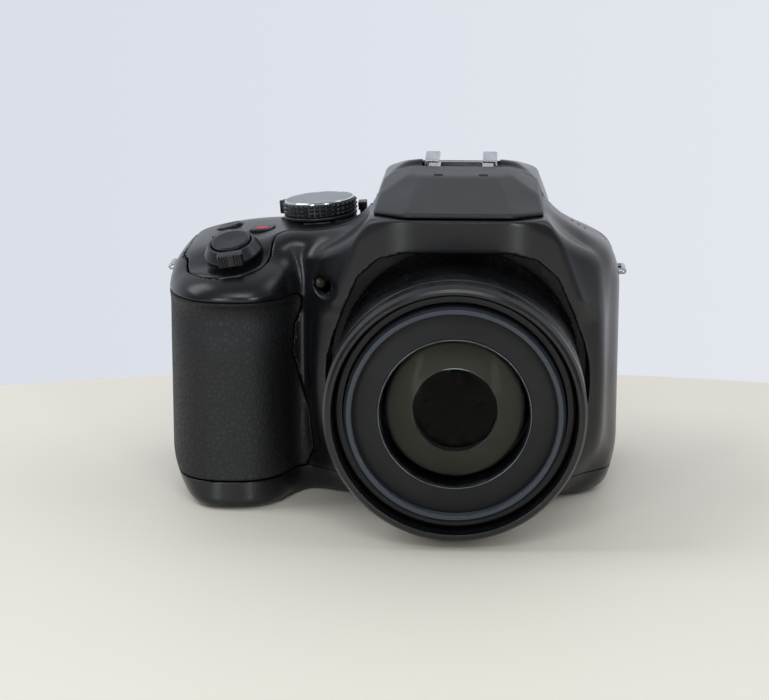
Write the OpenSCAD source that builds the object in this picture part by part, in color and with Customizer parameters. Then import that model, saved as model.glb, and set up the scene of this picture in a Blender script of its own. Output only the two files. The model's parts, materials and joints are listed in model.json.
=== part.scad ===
// Bridge camera with a retracting zoom lens, in millimetres.
// The lens looks along -Y, +Z is up and the grip is at -X.
// The origin is the mouth of the tripod socket, on the base and under the lens axis.

/* [Body] */
// Width of the casing without the strap lugs
body_w = 128.9; // [122:0.1:138]
// Height of the mode dial deck over the lens axis
deck_rise = 38.2; // [36:0.1:42]
// Height of the hump, with the flash and the viewfinder, over the deck
hump_rise = 16.6; // [15:0.1:19]
// Distance from the front wall to the monitor side
body_d = 53; // [51:0.5:57]
// Distance from the lens axis to the side away from the grip
side_reach = 45.6; // [44.5:0.1:52]
// How far the grip stands in front of the front wall
grip_reach = 17.5; // [14:0.5:20]
// Wall of the mouldings
wall = 2.0; // [1.6:0.1:2.4]
// Height of the base cover
base_h = 8; // [7:0.5:10]
// Gap between neighbouring mouldings
seam = 0.2; // [0.1:0.05:0.3]
// Thickness of the rubber on the grip
skin_t = 1.2; // [0.8:0.1:1.4]

/* [Lens] */
// Distance from the fixed ring down to the plane of the base
base_gap = 2; // [1.6:0.1:3]
// Wall of the fixed ring
ring_wall = 2.65; // [2.4:0.05:3]
// Wall of the middle barrel
middle_wall = 2.25; // [2:0.05:2.6]
// Distance from the front wall to the face of the fixed ring
lens_reach = 52; // [49:0.5:55]
// Width of the rim around the filter thread
rim_w = 2.3; // [2:0.1:3]
// Minor diameter of the filter thread
filter_d = 54.2; // [50:0.1:58]
// Diameter of the front glass
glass_d = 39.4; // [37:0.2:41]
// Travel of each zoom stage
zoom_travel = 34; // [24:1:36]
// Running clearance of the barrels on the radius
barrel_gap = 0.35; // [0.3:0.05:0.5]

/* [Controls] */
// Diameter of the mode dial
dial_d = 21.6; // [19:0.2:23]
// Height of the mode dial
dial_h = 3.6; // [3:0.1:4.5]
// Diameter of the shutter button
shutter_d = 11; // [9:0.2:12]
// Diameter of the zoom lever at its foot
lever_d = 16.6; // [15.6:0.2:17.4]
// Gap around every button
button_gap = 0.35; // [0.3:0.05:0.5]
// Travel of the small buttons
button_travel = 0.6; // [0.4:0.1:0.8]

/* [Flash and shoe] */
// Outer width of the accessory shoe
shoe_w = 21; // [20.6:0.1:22]
// Clear width between the lips of the shoe
shoe_lip = 12.5; // [12.4:0.1:13]
// Clear width of the shoe slot
shoe_slot = 18.7; // [18.6:0.05:19]
// Clear height of the shoe slot
shoe_slot_h = 2.0; // [2.0:0.05:2.2]
// Thickness of the shoe metal
shoe_t = 0.9; // [0.7:0.1:1.0]
// Height of the flash lid
flash_h = 8; // [7.4:0.1:8.6]

/* [Back and base] */
// Width of the monitor window
monitor_w = 72; // [68:1:73]
// Height of the monitor window
monitor_h = 47; // [44:1:48]
// Minor diameter of the tripod thread
tripod_d = 5.1; // [5.0:0.05:5.3]
// Depth of the tripod thread
tripod_depth = 5.6; // [5:0.1:6.5]

/* [Hidden] */
$fn = 64;

// The lens sets the height of its axis, and the axis sets the heights of the casing.
front_r = filter_d / 2 + rim_w;
middle_in = front_r + barrel_gap;
middle_r = middle_in + middle_wall;
fixed_in = middle_r + barrel_gap;
ring_r = fixed_in + ring_wall;
opening_r = ring_r + 1.6;
axis_h = ring_r + base_gap;
deck_h = axis_h + deck_rise;
hump_h = deck_h + hump_rise;
flash_seam = hump_h - flash_h;

back_y = 28;
front_y = back_y - body_d;
right_x = side_reach;
left_x = side_reach - body_w;
parting_y = 1;
ring_y = front_y - lens_reach;
nose_y = front_y - grip_reach;
fascia_y = front_y - 21;

// Rounded maximum and minimum of two distances.
function smax(a, b, k) = let (h = max(k - abs(a - b), 0)) max(a, b) + h * h / (4 * k);
function smin(a, b, k) = -smax(-a, -b, k);

// The deck falls a little towards the grip, forward over its head, and steeply towards the other side.
deck_x = left_x + 33.3;
deck_tilt = 4.5;
crest_y = 5;
head_lean = 5.1;
function step(t) = let (u = min(max(t, 0), 1)) u * u * (3 - 2 * u);
function deck(p) = cos(deck_tilt) * (p[2] - deck_h) - sin(deck_tilt) * (p[0] - deck_x)
    + tan(head_lean) * step((grip_x + 17.9 - p[0]) / 12) * max(crest_y - p[1], 0);
function shoulder(p) = smax(0.447 * (p[0] - right_x + 12) + 0.894 * (p[2] - deck_h - 1.3),
                            0.748 * (p[0] - right_x + 5.9) + 0.664 * (p[2] - deck_h + 1.6), 4);
rear_slope = 28.5;
function rear_fall(p) = sin(rear_slope) * (p[1] - crest_y) + cos(rear_slope) * (p[2] - deck_h - 0.3);

// The deck also falls away at the grip end, and the lower corners are well rounded.
fall_x = left_x + 24.3;
fall_tilt = 16;
function left_fall(p) = cos(fall_tilt) * (p[2] - deck_z(fall_x)) - sin(fall_tilt) * (p[0] - fall_x);
function low_corner(p) = 0.707 * (max(p[0] - right_x, left_x + 1 - p[0]) - p[2]) + 4.6;

// The main box of the casing.
function slab(p) =
    let (plan = smax(smax(p[0] - right_x, -p[0] + left_x + 5, 1),
                     smax(-p[1] + front_y, p[1] - back_y, 1), p[1] > 0 ? 5 : 12),
         top = smax(smax(smax(deck(p), left_fall(p), 4), shoulder(p), 4), rear_fall(p), 6))
    smax(smax(smax(plan, top, 5), low_corner(p), 7), -p[2], 8);

// The grip is a column with an oval plan and a finger rest under its head.
grip_a = 18.3;
grip_x = left_x + grip_a + 1.1;
grip_y = -14.5;
function oval(x, y, a, b) = (pow(pow(abs(x) / a, 2.5) + pow(abs(y) / b, 2.5), 0.4) - 1) * a;
function grip(p) =
    let (rest = 2.4 * exp(-pow((p[2] - deck_h + 21.7) / 5, 2)),
         foot = 2.6 * pow(max(1 - p[2] / 40, 0), 2),
         plan = oval(p[0] - grip_x, p[1] - grip_y, grip_a, grip_y - nose_y - rest + foot))
    smax(smax(smax(plan, p[2] - deck_h + 9.2, 8), low_corner(p), 6), -p[2], 3);

// The head of the grip carries the shutter on a face that leans forward.
shutter_foot = [left_x + 20.2, -28.7, deck_h - 5.45];
shutter_n = [-0.154, -0.293, 0.9436];
function head(p) =
    let (plan = oval(p[0] - grip_x - 0.6, p[1] - grip_y, grip_a, grip_y - nose_y + 3.6),
         top = smax(smax((p - shutter_foot) * shutter_n, deck(p), 6), left_fall(p), 4))
    smax(smax(plan, smax(top, rear_fall(p), 6), 12), deck_h - 16.7 - p[2], 3);

// The lens housing bows back from the flat fascia to a ridge on each side.
ridge_r = opening_r + 2.9;
function housing(p) =
    let (a = abs(p[0]), up = p[2] - axis_h,
         wide = up > 0 ? a - ridge_r + 0.18 * up : norm([a, up]) - ridge_r,
         bow = sin(22) * (a - 15.5) - cos(22) * (p[1] - fascia_y),
         side = cos(35) * wide - sin(35) * (p[1] - fascia_y - 6),
         top = smax(p[2] - flash_seam - 0.6, 0.487 * (a - 24.5) + 0.873 * (p[2] - deck_h - 4.5), 3),
         face = smax(smax(smax(fascia_y - p[1], bow, 2), side, 4), a - right_x + 4, 3))
    smax(smax(smax(face, top, 3), p[1] - front_y - 9, 2), -p[2], 5);

// The hump has a sloping front, two slopes on each side and a roof with a slight crown.
roof_half = 14.3;
function facet(p) = 0.465 * (abs(p[0]) - roof_half) + 0.885 * (p[2] - hump_h);
function hump(p) =
    let (a = abs(p[0]),
         side = smax(0.934 * (a - 25.3) + 0.356 * (p[2] - hump_h + 12.5), facet(p), 1.5),
         front = 0.33 * (fascia_y + 1.2 - p[1]) + 0.944 * (p[2] - flash_seam),
         cheek = 0.227 * (a - 14.5) + 0.281 * (fascia_y + 1.2 - p[1]) + 0.932 * (p[2] - flash_seam),
         crown = p[2] - hump_h + 0.0008 * a * a,
         back = 0.138 * (p[1] + 4) + 0.990 * crown,
         roof = smax(smax(smax(front, cheek, 1), crown, 3), back, 3),
         bow = sin(22) * (a - 15.5) - cos(22) * (p[1] - fascia_y),
         face = smax(fascia_y - p[1], bow, 2))
    smax(smax(smax(side, roof, 1.5), face, 1.5), max(deck_h - 15.2 - p[2], p[1] - back_y + 1), 3);

// The finder stands out at the back.
finder_half = 19.5;
finder_y = 37;
finder_z = hump_h - 15.8;
function finder(p) =
    let (a = abs(p[0]),
         roof = smax(0.243 * (p[1] - 19) + 0.970 * (p[2] - hump_h + 3.2), facet(p) - 0.2, 2),
         under = 0.62 * (p[1] - finder_y) - 0.785 * (p[2] - finder_z + 10),
         sides = smax(a - finder_half + 0.12 * (p[2] - finder_z + 1), p[1] - finder_y, 4))
    smax(smax(sides, smax(roof, under, 2), 3), 4 - p[1], 2);

// Distance to the whole moulded form, negative inside.
function casing(p) = smin(smin(slab(p), smin(grip(p), head(p), 2.5), 7), housing(p), 6);
function form(p) = max(-p[2], smin(smin(casing(p), hump(p), 7), finder(p), 4));

// A ray in the plane of one section, from a point inside to the skin, by false position.
function cast(c, u, a, fa, b, fb, inset, n) =
    let (m = (a * fb - b * fa) / (fb - fa), f = form(c + m * u) + inset)
    n == 0 || abs(f) < 0.004 ? c + m * u :
    f > 0 ? cast(c, u, a, fa / 2, m, f, inset, n - 1) : cast(c, u, m, f, b, fb / 2, inset, n - 1);

core_y = -3.4;
core_z = axis_h;
reach = 70;
function stations(inset, bays) =
    let (l = left_x + inset + 1.4, r = right_x - inset - 0.25)
    concat([for (d = [0, 0.8, 2, 4, 7]) l + d],
           [for (i = [1 : bays - 1]) l + 7 + (r - l - 14) * i / bays],
           [for (d = [7, 4, 2, 0.8, 0]) r - d]);

// The skin of the form at a given depth, as one closed loft of its sections.
module moulded(inset, ends, bays, rays) {
    xs = stations(ends, bays);
    points = [for (x = xs) let (c = [x, core_y, core_z], f = form(c) + inset) for (i = [0 : rays - 1])
        let (u = [0, cos(360 * i / rays), sin(360 * i / rays)])
        cast(c, u, 0, f, reach, form(c + reach * u) + inset, inset, 14)];
    last = (len(xs) - 1) * rays;
    faces = concat(
        [[for (i = [0 : rays - 1]) i]],
        [[for (i = [rays - 1 : -1 : 0]) last + i]],
        [for (s = [0 : len(xs) - 2]) for (i = [0 : rays - 1])
            [s * rays + i, (s + 1) * rays + i, (s + 1) * rays + (i + 1) % rays]],
        [for (s = [0 : len(xs) - 2]) for (i = [0 : rays - 1])
            [s * rays + i, (s + 1) * rays + (i + 1) % rays, s * rays + (i + 1) % rays]]);
    polyhedron(points, faces, convexity = 10);
}
module outside() {
    moulded(0, 0, 26, 46);
}
module under_skin(depth) {
    moulded(depth, skin_t, 26, 46);
}
module inside(depth) {
    moulded(depth, depth, 18, 34);
}

// Places children on the lens axis, with +Z towards the subject.
module on_axis() {
    translate([0, 0, axis_h]) rotate([90, 0, 0]) children();
}

// A tube along +Z.
module tube(r_out, r_in, from, to) {
    translate([0, 0, from]) difference() {
        cylinder(r = r_out, h = to - from);
        translate([0, 0, -1]) cylinder(r = r_in, h = to - from + 2);
    }
}

// A long round hole or key, as a flat outline.
module oblong(length, width) {
    square([length - width, width], center = true);
    translate([(length - width) / 2, 0]) circle(d = width, $fn = 32);
    translate([(width - length) / 2, 0]) circle(d = width, $fn = 32);
}

// A flat rectangle with round corners.
module round_rect(w, h, r) {
    square([w - 2 * r, h], center = true);
    square([w, h - 2 * r], center = true);
    for (x = [-1, 1], y = [-1, 1]) translate([x * (w / 2 - r), y * (h / 2 - r)]) circle(r = r, $fn = 32);
}

// Places on the casing.
function deck_z(x) = deck_h + tan(deck_tilt) * (x - deck_x);
dial_x = left_x / 2 + 1.25;
dial_y = -3.9;
burst_at = [left_x + 16.2, -3.6];
function_at = [left_x + 15.5, -13.4];
record_at = [left_x + 26.7, -13.5];
lever_at = [-28.8, 8.4];
module on_deck(x, y) {
    translate([x, y, deck_z(x)]) rotate([0, -deck_tilt, 0]) children();
}
// Places on the true skin of the deck, with a given lean to the side and forward.
function skin_at(x, y) = cast([x, y, 55], [0, 0, 1], 0, form([x, y, 55]), 40, form([x, y, 95]), 0, 30);
module on_head(at, lean, tilt = head_lean) {
    translate(skin_at(at[0], at[1])) rotate([tilt, -lean, 0]) children();
}
dial_rise = 0.8;
module on_dial() {
    on_deck(dial_x, dial_y) translate([0, 0, dial_rise]) children();
}
shutter_lift = 1.05;
module on_shutter() {
    translate(shutter_foot + shutter_lift * shutter_n) rotate([17.04, -9.27, 0]) children();
}
slope_y = 20.4;
slope_z = deck_h + 0.3 - tan(rear_slope) * (slope_y - crest_y);
module on_slope(x) {
    translate([x, slope_y, slope_z]) rotate([-rear_slope, 0, 0]) children();
}
// Places on the back, with +Z out of the camera.
module on_back(x, z) {
    translate([x, back_y, z]) rotate([-90, 0, 0]) children();
}
pad_x = left_x + 27;
pad_z = 30;
play_at = [left_x + 44, 51];
quick_at = [left_x + 42, 14];
display_at = [left_x + 14, 14];
monitor_x = right_x - 5 - monitor_w / 2;
monitor_z = 35;
lug_z = deck_h - 12.7;
lamp_at = [left_x + 44.7, deck_h - 12.4];

// The opening around the barrel is round below and squarer at the top.
module opening(grow) {
    hull() {
        circle(r = opening_r + grow, $fn = 48);
        for (x = [-1, 1], at = [[13.5, -1, 2], [20.3, -3, 2.2], [25.4, -8, 2.3], [28.2, -12.6, 1.6]])
            translate([x * at[0], opening_r + at[1]]) circle(r = at[2] + grow, $fn = 12);
    }
}

// Regions that share the moulded form between the covers.
module deck_plan(grow) {
    deck_l = -24.9 - left_x - 6;
    offset(r = -4) offset(r = 4) {
        translate([left_x + 6 - grow, -20.5 - grow]) square([deck_l + 2 * grow, 36.5 + 2 * grow]);
        translate([shutter_foot[0] - 1.5, shutter_foot[1] + 2.4]) circle(r = 11.8 + grow, $fn = 40);
    }
}
module deck_region(grow) {
    translate([0, 0, deck_h - 13.2 - grow]) linear_extrude(30) deck_plan(grow);
}
module hump_region(grow) {
    difference() {
        translate([-24.95 - grow, pivot_y + 2.8 - grow, deck_h - 3.2 - grow]) cube([51 + 2 * grow, 60, 40]);
        translate([-40, pivot_y, pivot_z]) rotate([0, 90, 0])
            cylinder(r = pivot_r + 0.3 - grow, h = 80, $fn = 48);
    }
}
module flash_region() {
    translate([-30, fascia_y - 10, flash_seam - seam]) cube([60, pivot_y - fascia_y + 15.2, 30]);
    across(pivot_r + 0.3, -30, 30);
    translate([-13.6, fascia_y + 4.8, flash_seam - 4]) cube([27.2, 12, 10]);
}
skin_rows = [
    [8, 39.8], [14, 42.3], [24, 41.3], [34, 38.3], [42, 36.3],
    [50, 36.8], [55, 38.8], [59, 39.3], [61, 35.8], [62, 30.3]
];
module skin_region(grow) {
    for (i = [0 : len(skin_rows) - 2]) hull() {
        for (row = [skin_rows[i], skin_rows[i + 1]])
            translate([left_x - 5, nose_y - 8, row[0] - grow])
                cube([row[1] + 5 + grow, parting_y - nose_y + 4.7 + grow, 2 * grow + 0.01]);
    }
}
skin_top = 59;

// A tapered screw boss that stands on the inside of a moulding.
module boss(at, along, r) {
    hull() {
        translate(at) sphere(r = r + 0.6, $fn = 8);
        translate(at + along) sphere(r = r, $fn = 8);
    }
}

module front_cover() {
    color("#26282b") difference() {
        outside();
        difference() {
            inside(wall);
            on_axis() translate([0, 0, 19]) linear_extrude(60) opening(1.6);
            for (x = [-33, 33]) boss([x, fascia_y + 9, axis_h + 30], [0, 30, 0], 2);
            for (x = [left_x + 42.8, right_x - 5.6]) boss([x, front_y - 8, 26], [0, 25, 0], 2);
            for (x = [left_x + 42.3, right_x - 5.6]) boss([x, front_y - 8, 14], [0, 25, 0], 2);
            for (x = [left_x + 42.3, right_x - 5.6]) boss([x, front_y - 8, 50], [0, 25, 0], 2);
        }
        translate([-150, parting_y - seam / 2, -10]) cube([300, 150, 200]);
        translate([-150, -150, -50]) cube([300, 300, 50 + base_h + seam / 2]);
        on_axis() translate([0, 0, 22]) linear_extrude(60) opening(0);
        on_axis() translate([0, 0, -30]) linear_extrude(60) circle(r = ring_r - 1.3);
        deck_region(seam);
        hump_region(seam);
        flash_region();
        difference() {
            skin_region(seam);
            under_skin(skin_t + 0.15);
        }
        translate([lamp_at[0], front_y, lamp_at[1]]) rotate([90, 0, 0]) cylinder(r = 1.9, h = 30, $fn = 24);
        translate([lamp_at[0], front_y - 6.5, lamp_at[1]]) rotate([90, 0, 0])
            cylinder(r1 = 1.9, r2 = 4, h = 6, $fn = 24);
        for (i = [0 : 2]) translate([right_x - 13.8 + 1.8 * i, -16, deck_h - 12])
            cylinder(r = 0.5, h = 20, $fn = 10);
        lug_holes();
        translate([right_x - lug_sink, lug_y - 6.2, lug_z - 2.7]) cube([5, 12.4, 5.4]);
        translate([left_x + lug_in + lug_sink - 5, lug_y - 6.2, lug_z - 2.7]) cube([5, 12.4, 5.4]);
    }
}

module lug_holes() {
    for (y = [-3.6, 3.6]) translate([right_x, lug_y + y, lug_z]) rotate([0, 90, 0])
        cylinder(r = 1.3, h = 16, center = true, $fn = 16);
    for (y = [-3.6, 3.6]) translate([left_x, lug_y + y, lug_z]) rotate([0, 90, 0])
        cylinder(r = 1.3, h = 16, center = true, $fn = 16);
}
lug_y = -6;
lug_sink = 1.4;
lug_in = 1.2;

module rear_cover() {
    color("#26282b") difference() {
        outside();
        difference() {
            inside(wall);
            for (x = [left_x + 34.3, right_x - 5.6]) boss([x, back_y - 1, 10.5], [0, -14, 0], 2);
            boss([left_x + 35.3, back_y - 1, deck_h - 13.2], [0, -14, 0], 2);
            boss([right_x - 3.4, back_y - 1, deck_h - 17.7], [0, -14, 0], 2);
            for (x = [left_x + 7.3, monitor_x - monitor_w / 2 - 1.1])
                boss([x, back_y - 3, 24], [0, -3.6, 0], 2);
            for (x = [-20, 20]) boss([x, back_y - 1, 64], [0, -10, 0], 2);
            translate([wheel_x - 4, wheel_y - 4, wheel_z - wheel_h / 2 - 1.6])
                cube([8, back_y - wheel_y + 4, wheel_h + 3.2]);
        }
        translate([-150, -150 + parting_y + seam / 2, -10]) cube([300, 150, 200]);
        translate([-150, -150, -50]) cube([300, 300, 50 + base_h + seam / 2]);
        deck_region(seam);
        hump_region(seam);
        on_back(monitor_x, monitor_z) translate([0, 0, -12]) linear_extrude(20)
            round_rect(monitor_w + 2 * seam, monitor_h + 2 * seam, 2.5);
        on_back(play_at[0], play_at[1]) key_hole(3.0);
        on_back(quick_at[0], quick_at[1]) key_hole(3.0);
        on_back(display_at[0], display_at[1]) key_hole(3.0);
        on_back(pad_x, pad_z) key_hole(pad_r + 0.2);
        finder_holes();
        on_slope(finder_at) key_hole(2.9);
        on_slope(lock_at) key_hole(2.9);
        translate([wheel_x, wheel_y, wheel_z - wheel_h / 2 - button_gap]) difference() {
            cylinder(r = wheel_r + 0.4, h = wheel_h + 2 * button_gap);
            translate([0, 0, -1]) cylinder(r = axle_r, h = wheel_h + 3, $fn = 48);
        }
        on_side() translate([-2, -socket_w / 2 - seam, -socket_h / 2 - seam])
            cube([8, socket_w + 2 * seam, socket_h + 2 * seam]);
    }
}
module key_hole(r) {
    translate([0, 0, -14]) cylinder(r = r + button_gap, h = 20, $fn = 32);
}
pad_r = 11.4;
finder_at = 37;
lock_at = -38.5;
wheel_r = 11.5;
wheel_h = 4.4;
axle_r = 2.4;
wheel_x = left_x + 25;
wheel_y = back_y + 1.3 - wheel_r;
wheel_z = 56.5;
socket_y = 10.5;
socket_w = 11;
socket_h = 20;
socket_z = 42;
module on_side() {
    translate([left_x + 4.0, socket_y, socket_z]) rotate([0, 0, -10.5]) children();
}

module top_cover() {
    color("#26282b") difference() {
        union() {
            intersection() {
                outside();
                union() {
                    deck_region(0);
                    hump_region(0);
                }
            }
            translate([-11, 0.4, shoe_floor - 5]) cube([22, shoe_y + shoe_l - 0.4, 5 - 0.05]);
            on_dial() translate([0, 0, -8]) cylinder(d = dial_d - 0.8, h = 8);
        }
        difference() {
            inside(wall);
            translate([-23, 0.3, deck_h - 1.2]) cube([46, 1.6, 20]);
            for (d = [13.3, 23.3, 33.3]) boss([left_x + d, 12, deck_h - 2], [0, 0, -7], 1.6);
            boss([-34, 12, deck_z(-34) - 3.3], [0, 0, -7], 1.6);
            for (x = [-30, left_x + 37.3]) boss([x, -14, deck_z(x) - 3.3], [0, 0, -6], 1.6);
            for (x = [-17, 17]) boss([x, 12, hump_h - 4], [0, 0, -10], 1.6);
        }
        translate([-11.2, shoe_y - 0.2, shoe_floor - 0.05]) cube([22.4, shoe_l + 0.4, 20]);
        on_dial() translate([0, 0, -14]) cylinder(r = 3.4, h = 20, $fn = 32);
        on_shutter() translate([0, 0, -14]) cylinder(r = 4.8, h = 20, $fn = 32);
        on_head(burst_at, fall_tilt) translate([0, 0, -14]) linear_extrude(20)
            oblong(key_l + 2 * button_gap, key_w + 2 * button_gap);
        on_head(function_at, fall_tilt) key_hole(function_r);
        on_head(record_at, deck_tilt) translate([0, 0, -14]) linear_extrude(20)
            oblong(key_l + 2 * button_gap, key_w + 2 * button_gap);
        on_head(lever_at, deck_tilt, 0) cube([1.6 + 2 * button_gap, 8, 28], center = true);
        finder_holes();
    }
}
module finder_holes() {
    on_back(0, finder_z) translate([0, 0, -8]) linear_extrude(30) round_rect(21, 15, 3);
    translate([finder_half - 4.2, 29, finder_z]) rotate([0, 90, 0]) cylinder(r = 5.4, h = 12, $fn = 32);
}
shoe_y = -1;
shoe_l = 16.6;
shoe_floor = hump_h - 2.5;

module base_cover() {
    color("#26282b") difference() {
        outside();
        difference() {
            inside(wall);
            for (x = [left_x + 43.3, -20, 20, right_x - 5.6]) boss([x, 20, 2], [0, 0, 5], 2);
            for (x = [left_x + 41.3, right_x - 5.6]) boss([x, -16, 2], [0, 0, 5], 2);
            for (x = [left_x + 41.3, right_x - 5.6]) boss([x, 4, 2], [0, 0, 5], 2);
            translate([0, 0, 1]) cylinder(r = 8.6, h = 6);
        }
        translate([-150, -150, base_h - seam / 2]) cube([300, 300, 200]);
        on_axis() translate([0, 0, 22]) linear_extrude(60) opening(0);
        translate([-150, -150, -1]) cube([300, 300, 1.01]);
        translate([0, 0, -1]) cylinder(r = socket_r + 0.15, h = 20, $fn = 48);
        translate([0, 0, -1]) cylinder(r = socket_r + 2.15, h = 2.6, $fn = 48);
        translate([door_x0 - seam, door_y0 - seam, -1]) cube([door_w + 2 * seam, door_l + 2 * seam, 20]);
        translate([hinge_x, door_y0 - 1.6, hinge_z]) rotate([-90, 0, 0])
            cylinder(r = hinge_r + 0.1, h = door_l + 3.2, $fn = 24);
    }
}
socket_r = 6;
hinge_r = 0.8;
door_w = 24;
door_l = 36;
door_x0 = left_x + 12.6;
door_y0 = -25.5;
hinge_x = door_x0 + door_w - 1.6;
hinge_z = 1.6;

module grip_skin() {
    color("#1b1c1e") difference() {
        intersection() {
            outside();
            skin_region(0);
            translate([-150, -150, base_h + seam])
                cube([300, 150 + parting_y - seam / 2, skin_top - base_h]);
        }
        under_skin(skin_t);
    }
}

// Lens, from the carrier behind it to the front glass.
front_w = -ring_y;
fixed_rear = ring_r - 1.6;
cam_r = front_r - 6.6;
cam_in = cam_r - 2.2;
base_w = 9.2;
stack_w = front_w - 77;

module lens_base() {
    color("#3a3c40") on_axis() difference() {
        union() {
            translate([0, 0, base_w]) cylinder(r = fixed_rear - 0.2, h = 2.8);
            tube(fixed_rear - 0.2, fixed_rear - 2.4, base_w + 2, 19.8);
            tube(cam_in - 0.08, cam_in - 2, base_w + 2, 22);
            for (x = [-13, 13]) translate([x, 0, base_w + 2]) cylinder(r = 1, h = 30, $fn = 32);
        }
        translate([-5, -4, base_w - 1]) cube([10, 8, 6]);
    }
}

module fixed_barrel() {
    color("#2b2d30") on_axis() rotate_extrude($fn = 120) polygon([
        [fixed_in, 20], [fixed_rear, 20], [fixed_rear, 22.1], [ring_r - 0.6, 22.1],
        [ring_r - 0.6, front_w - 15], [ring_r, front_w - 15], [ring_r, front_w - 8.7],
        [ring_r - 0.8, front_w - 8.7], [ring_r - 0.8, front_w - 7.4], [ring_r, front_w - 7.4],
        [ring_r, front_w - 1.8], [ring_r - 0.7, front_w - 0.5], [ring_r - 1.6, front_w],
        [ring_r - 2.3, front_w], [fixed_in, front_w - 3.2]]);
}

module zoom_motor() {
    color("#8b8f94") on_axis() translate([-22, 12, 0]) {
        translate([0, 0, -4]) cylinder(r = 4.5, h = base_w + 4 - 0.1);
        translate([0, 0, -5.2]) cylinder(r = 1.4, h = 1.4, $fn = 32);
    }
}

module cam_tube() {
    color("#9a9da1") on_axis() difference() {
        tube(cam_r, cam_in, 14, 56 + stack_w);
        for (a = [0, 120, 240]) rotate(a) translate([cam_r, 0, 36]) rotate([38, 0, 0])
            cube([8, 3, 0.88 * zoom_travel], center = true);
    }
}

module middle_barrel() {
    color("#2b2d30") on_axis() rotate_extrude($fn = 120) polygon([
        [middle_in, 22.6], [middle_r, 22.6], [middle_r, front_w - 5.2],
        [middle_r - 0.6, front_w - 4.6], [middle_in, front_w - 4.6]]);
}

thread_depth = 2.6;
seat_r = filter_d / 2 + 0.5;
thread_w = front_w - 0.5;
module front_barrel() {
    color("#2f3236") on_axis() rotate_extrude($fn = 120) polygon([
        [cam_r + 3.6, 24], [front_r, 24], [front_r, thread_w - 0.8], [front_r - 0.8, thread_w],
        [filter_d / 2, thread_w], [filter_d / 2, thread_w - thread_depth],
        [seat_r, thread_w - thread_depth], [seat_r, thread_w - 8.4], [glass_d / 2 + 0.2, thread_w - 8.4],
        [glass_d / 2 + 0.2, thread_w - 12.5], [cam_r + 3.6, thread_w - 12.5]]);
}

module name_ring() {
    color("#17181a") on_axis() rotate_extrude($fn = 120) polygon([
        [glass_d / 2 + 0.2, thread_w - 8.35], [seat_r - 0.1, thread_w - 8.35],
        [seat_r - 0.1, thread_w - thread_depth - 1.4],
        [glass_d / 2 + 0.9, thread_w - thread_depth - 0.25],
        [glass_d / 2 + 0.2, thread_w - thread_depth - 0.5]]);
}

dome = 4;
dome_r = (pow(glass_d / 2, 2) + dome * dome) / (2 * dome);
module front_lens() {
    color("#4a5048") on_axis() intersection() {
        translate([0, 0, thread_w - 13.4]) cylinder(d = glass_d, h = 13.2 - thread_depth, $fn = 96);
        translate([0, 0, thread_w - thread_depth - 0.4 - dome_r]) sphere(r = dome_r, $fn = 96);
    }
}

zoom_lens_r = 11.4;
module zoom_cell() {
    color("#1d1e20") on_axis() difference() {
        tube(cam_in - 0.4, zoom_lens_r + 0.1, 42, 50);
        translate([0, 0, 47.5]) cylinder(r1 = zoom_lens_r + 0.1, r2 = 17, h = 3);
    }
}

module zoom_lens() {
    color("#50584e") on_axis() intersection() {
        translate([0, 0, 42.2]) cylinder(r = zoom_lens_r, h = 7, $fn = 64);
        translate([0, 0, 48.6 - 30]) sphere(r = 30, $fn = 64);
    }
}

module focus_lens() {
    color("#303336") on_axis() difference() {
        union() {
            translate([0, 0, 25]) cylinder(r = 9, h = 4.5);
            translate([-15.5, -2.4, 25]) cube([31, 4.8, 4.5]);
        }
        for (x = [-13, 13]) translate([x, 0, 24]) cylinder(r = 1.05, h = 8, $fn = 32);
    }
}

module image_sensor() {
    color("#2f4a3a") on_axis() {
        translate([-7, -5.5, base_w - 1.9]) cube([14, 11, 1.7]);
        translate([-11, -9, base_w - 3.2]) cube([22, 18, 1.31]);
    }
}

board_y = 17.4;
module_y = 20;
module main_board() {
    color("#255a3c") {
        translate([-38, board_y, 12]) cube([72, 1.4, 46]);
        for (x = [-24, 28], z = [16, 52]) translate([x, board_y + 1.4, z]) rotate([-90, 0, 0])
            cylinder(r = 1.5, h = module_y - board_y - 1.5, $fn = 24);
        translate([-10, board_y - 1.6, 26]) cube([16, 1.61, 16]);
        translate([14, board_y - 1.2, 20]) cube([10, 1.21, 12]);
    }
}

// Controls on the deck.
ring_h = 0.9;
dial_foot = 0.3 + ring_h + 0.3;
module mode_dial() {
    color("#3b3e42") on_dial() {
        difference() {
            translate([0, 0, dial_foot]) cylinder(d = dial_d, h = dial_h);
            translate([0, 0, dial_foot + dial_h - 0.4]) cylinder(d = dial_d - 2.2, h = 1);
        }
        translate([0, 0, -6.6]) cylinder(r = 3, h = dial_foot + 6.61);
        translate([0, 0, -7.4]) cylinder(r = 4.4, h = 1);
    }
}
module dial_cap() {
    color("#9fa3a8") on_dial() translate([0, 0, dial_foot + dial_h - 0.39])
        cylinder(d1 = dial_d - 2.4, d2 = dial_d - 3.2, h = 0.8);
}
module power_lever() {
    color("#232527") on_dial() difference() {
        union() {
            translate([0, 0, 0.3]) cylinder(d = dial_d - 0.4, h = ring_h);
            rotate(142) translate([dial_d / 2 - 1, -2.2, 0.3]) cube([4.4, 4.4, ring_h]);
            rotate(142) translate([dial_d / 2 + 0.5, -2.2, 0.3]) cube([2.9, 4.4, ring_h + 3.0]);
        }
        translate([0, 0, -1]) cylinder(r = 3.05, h = 4);
    }
}

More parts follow.
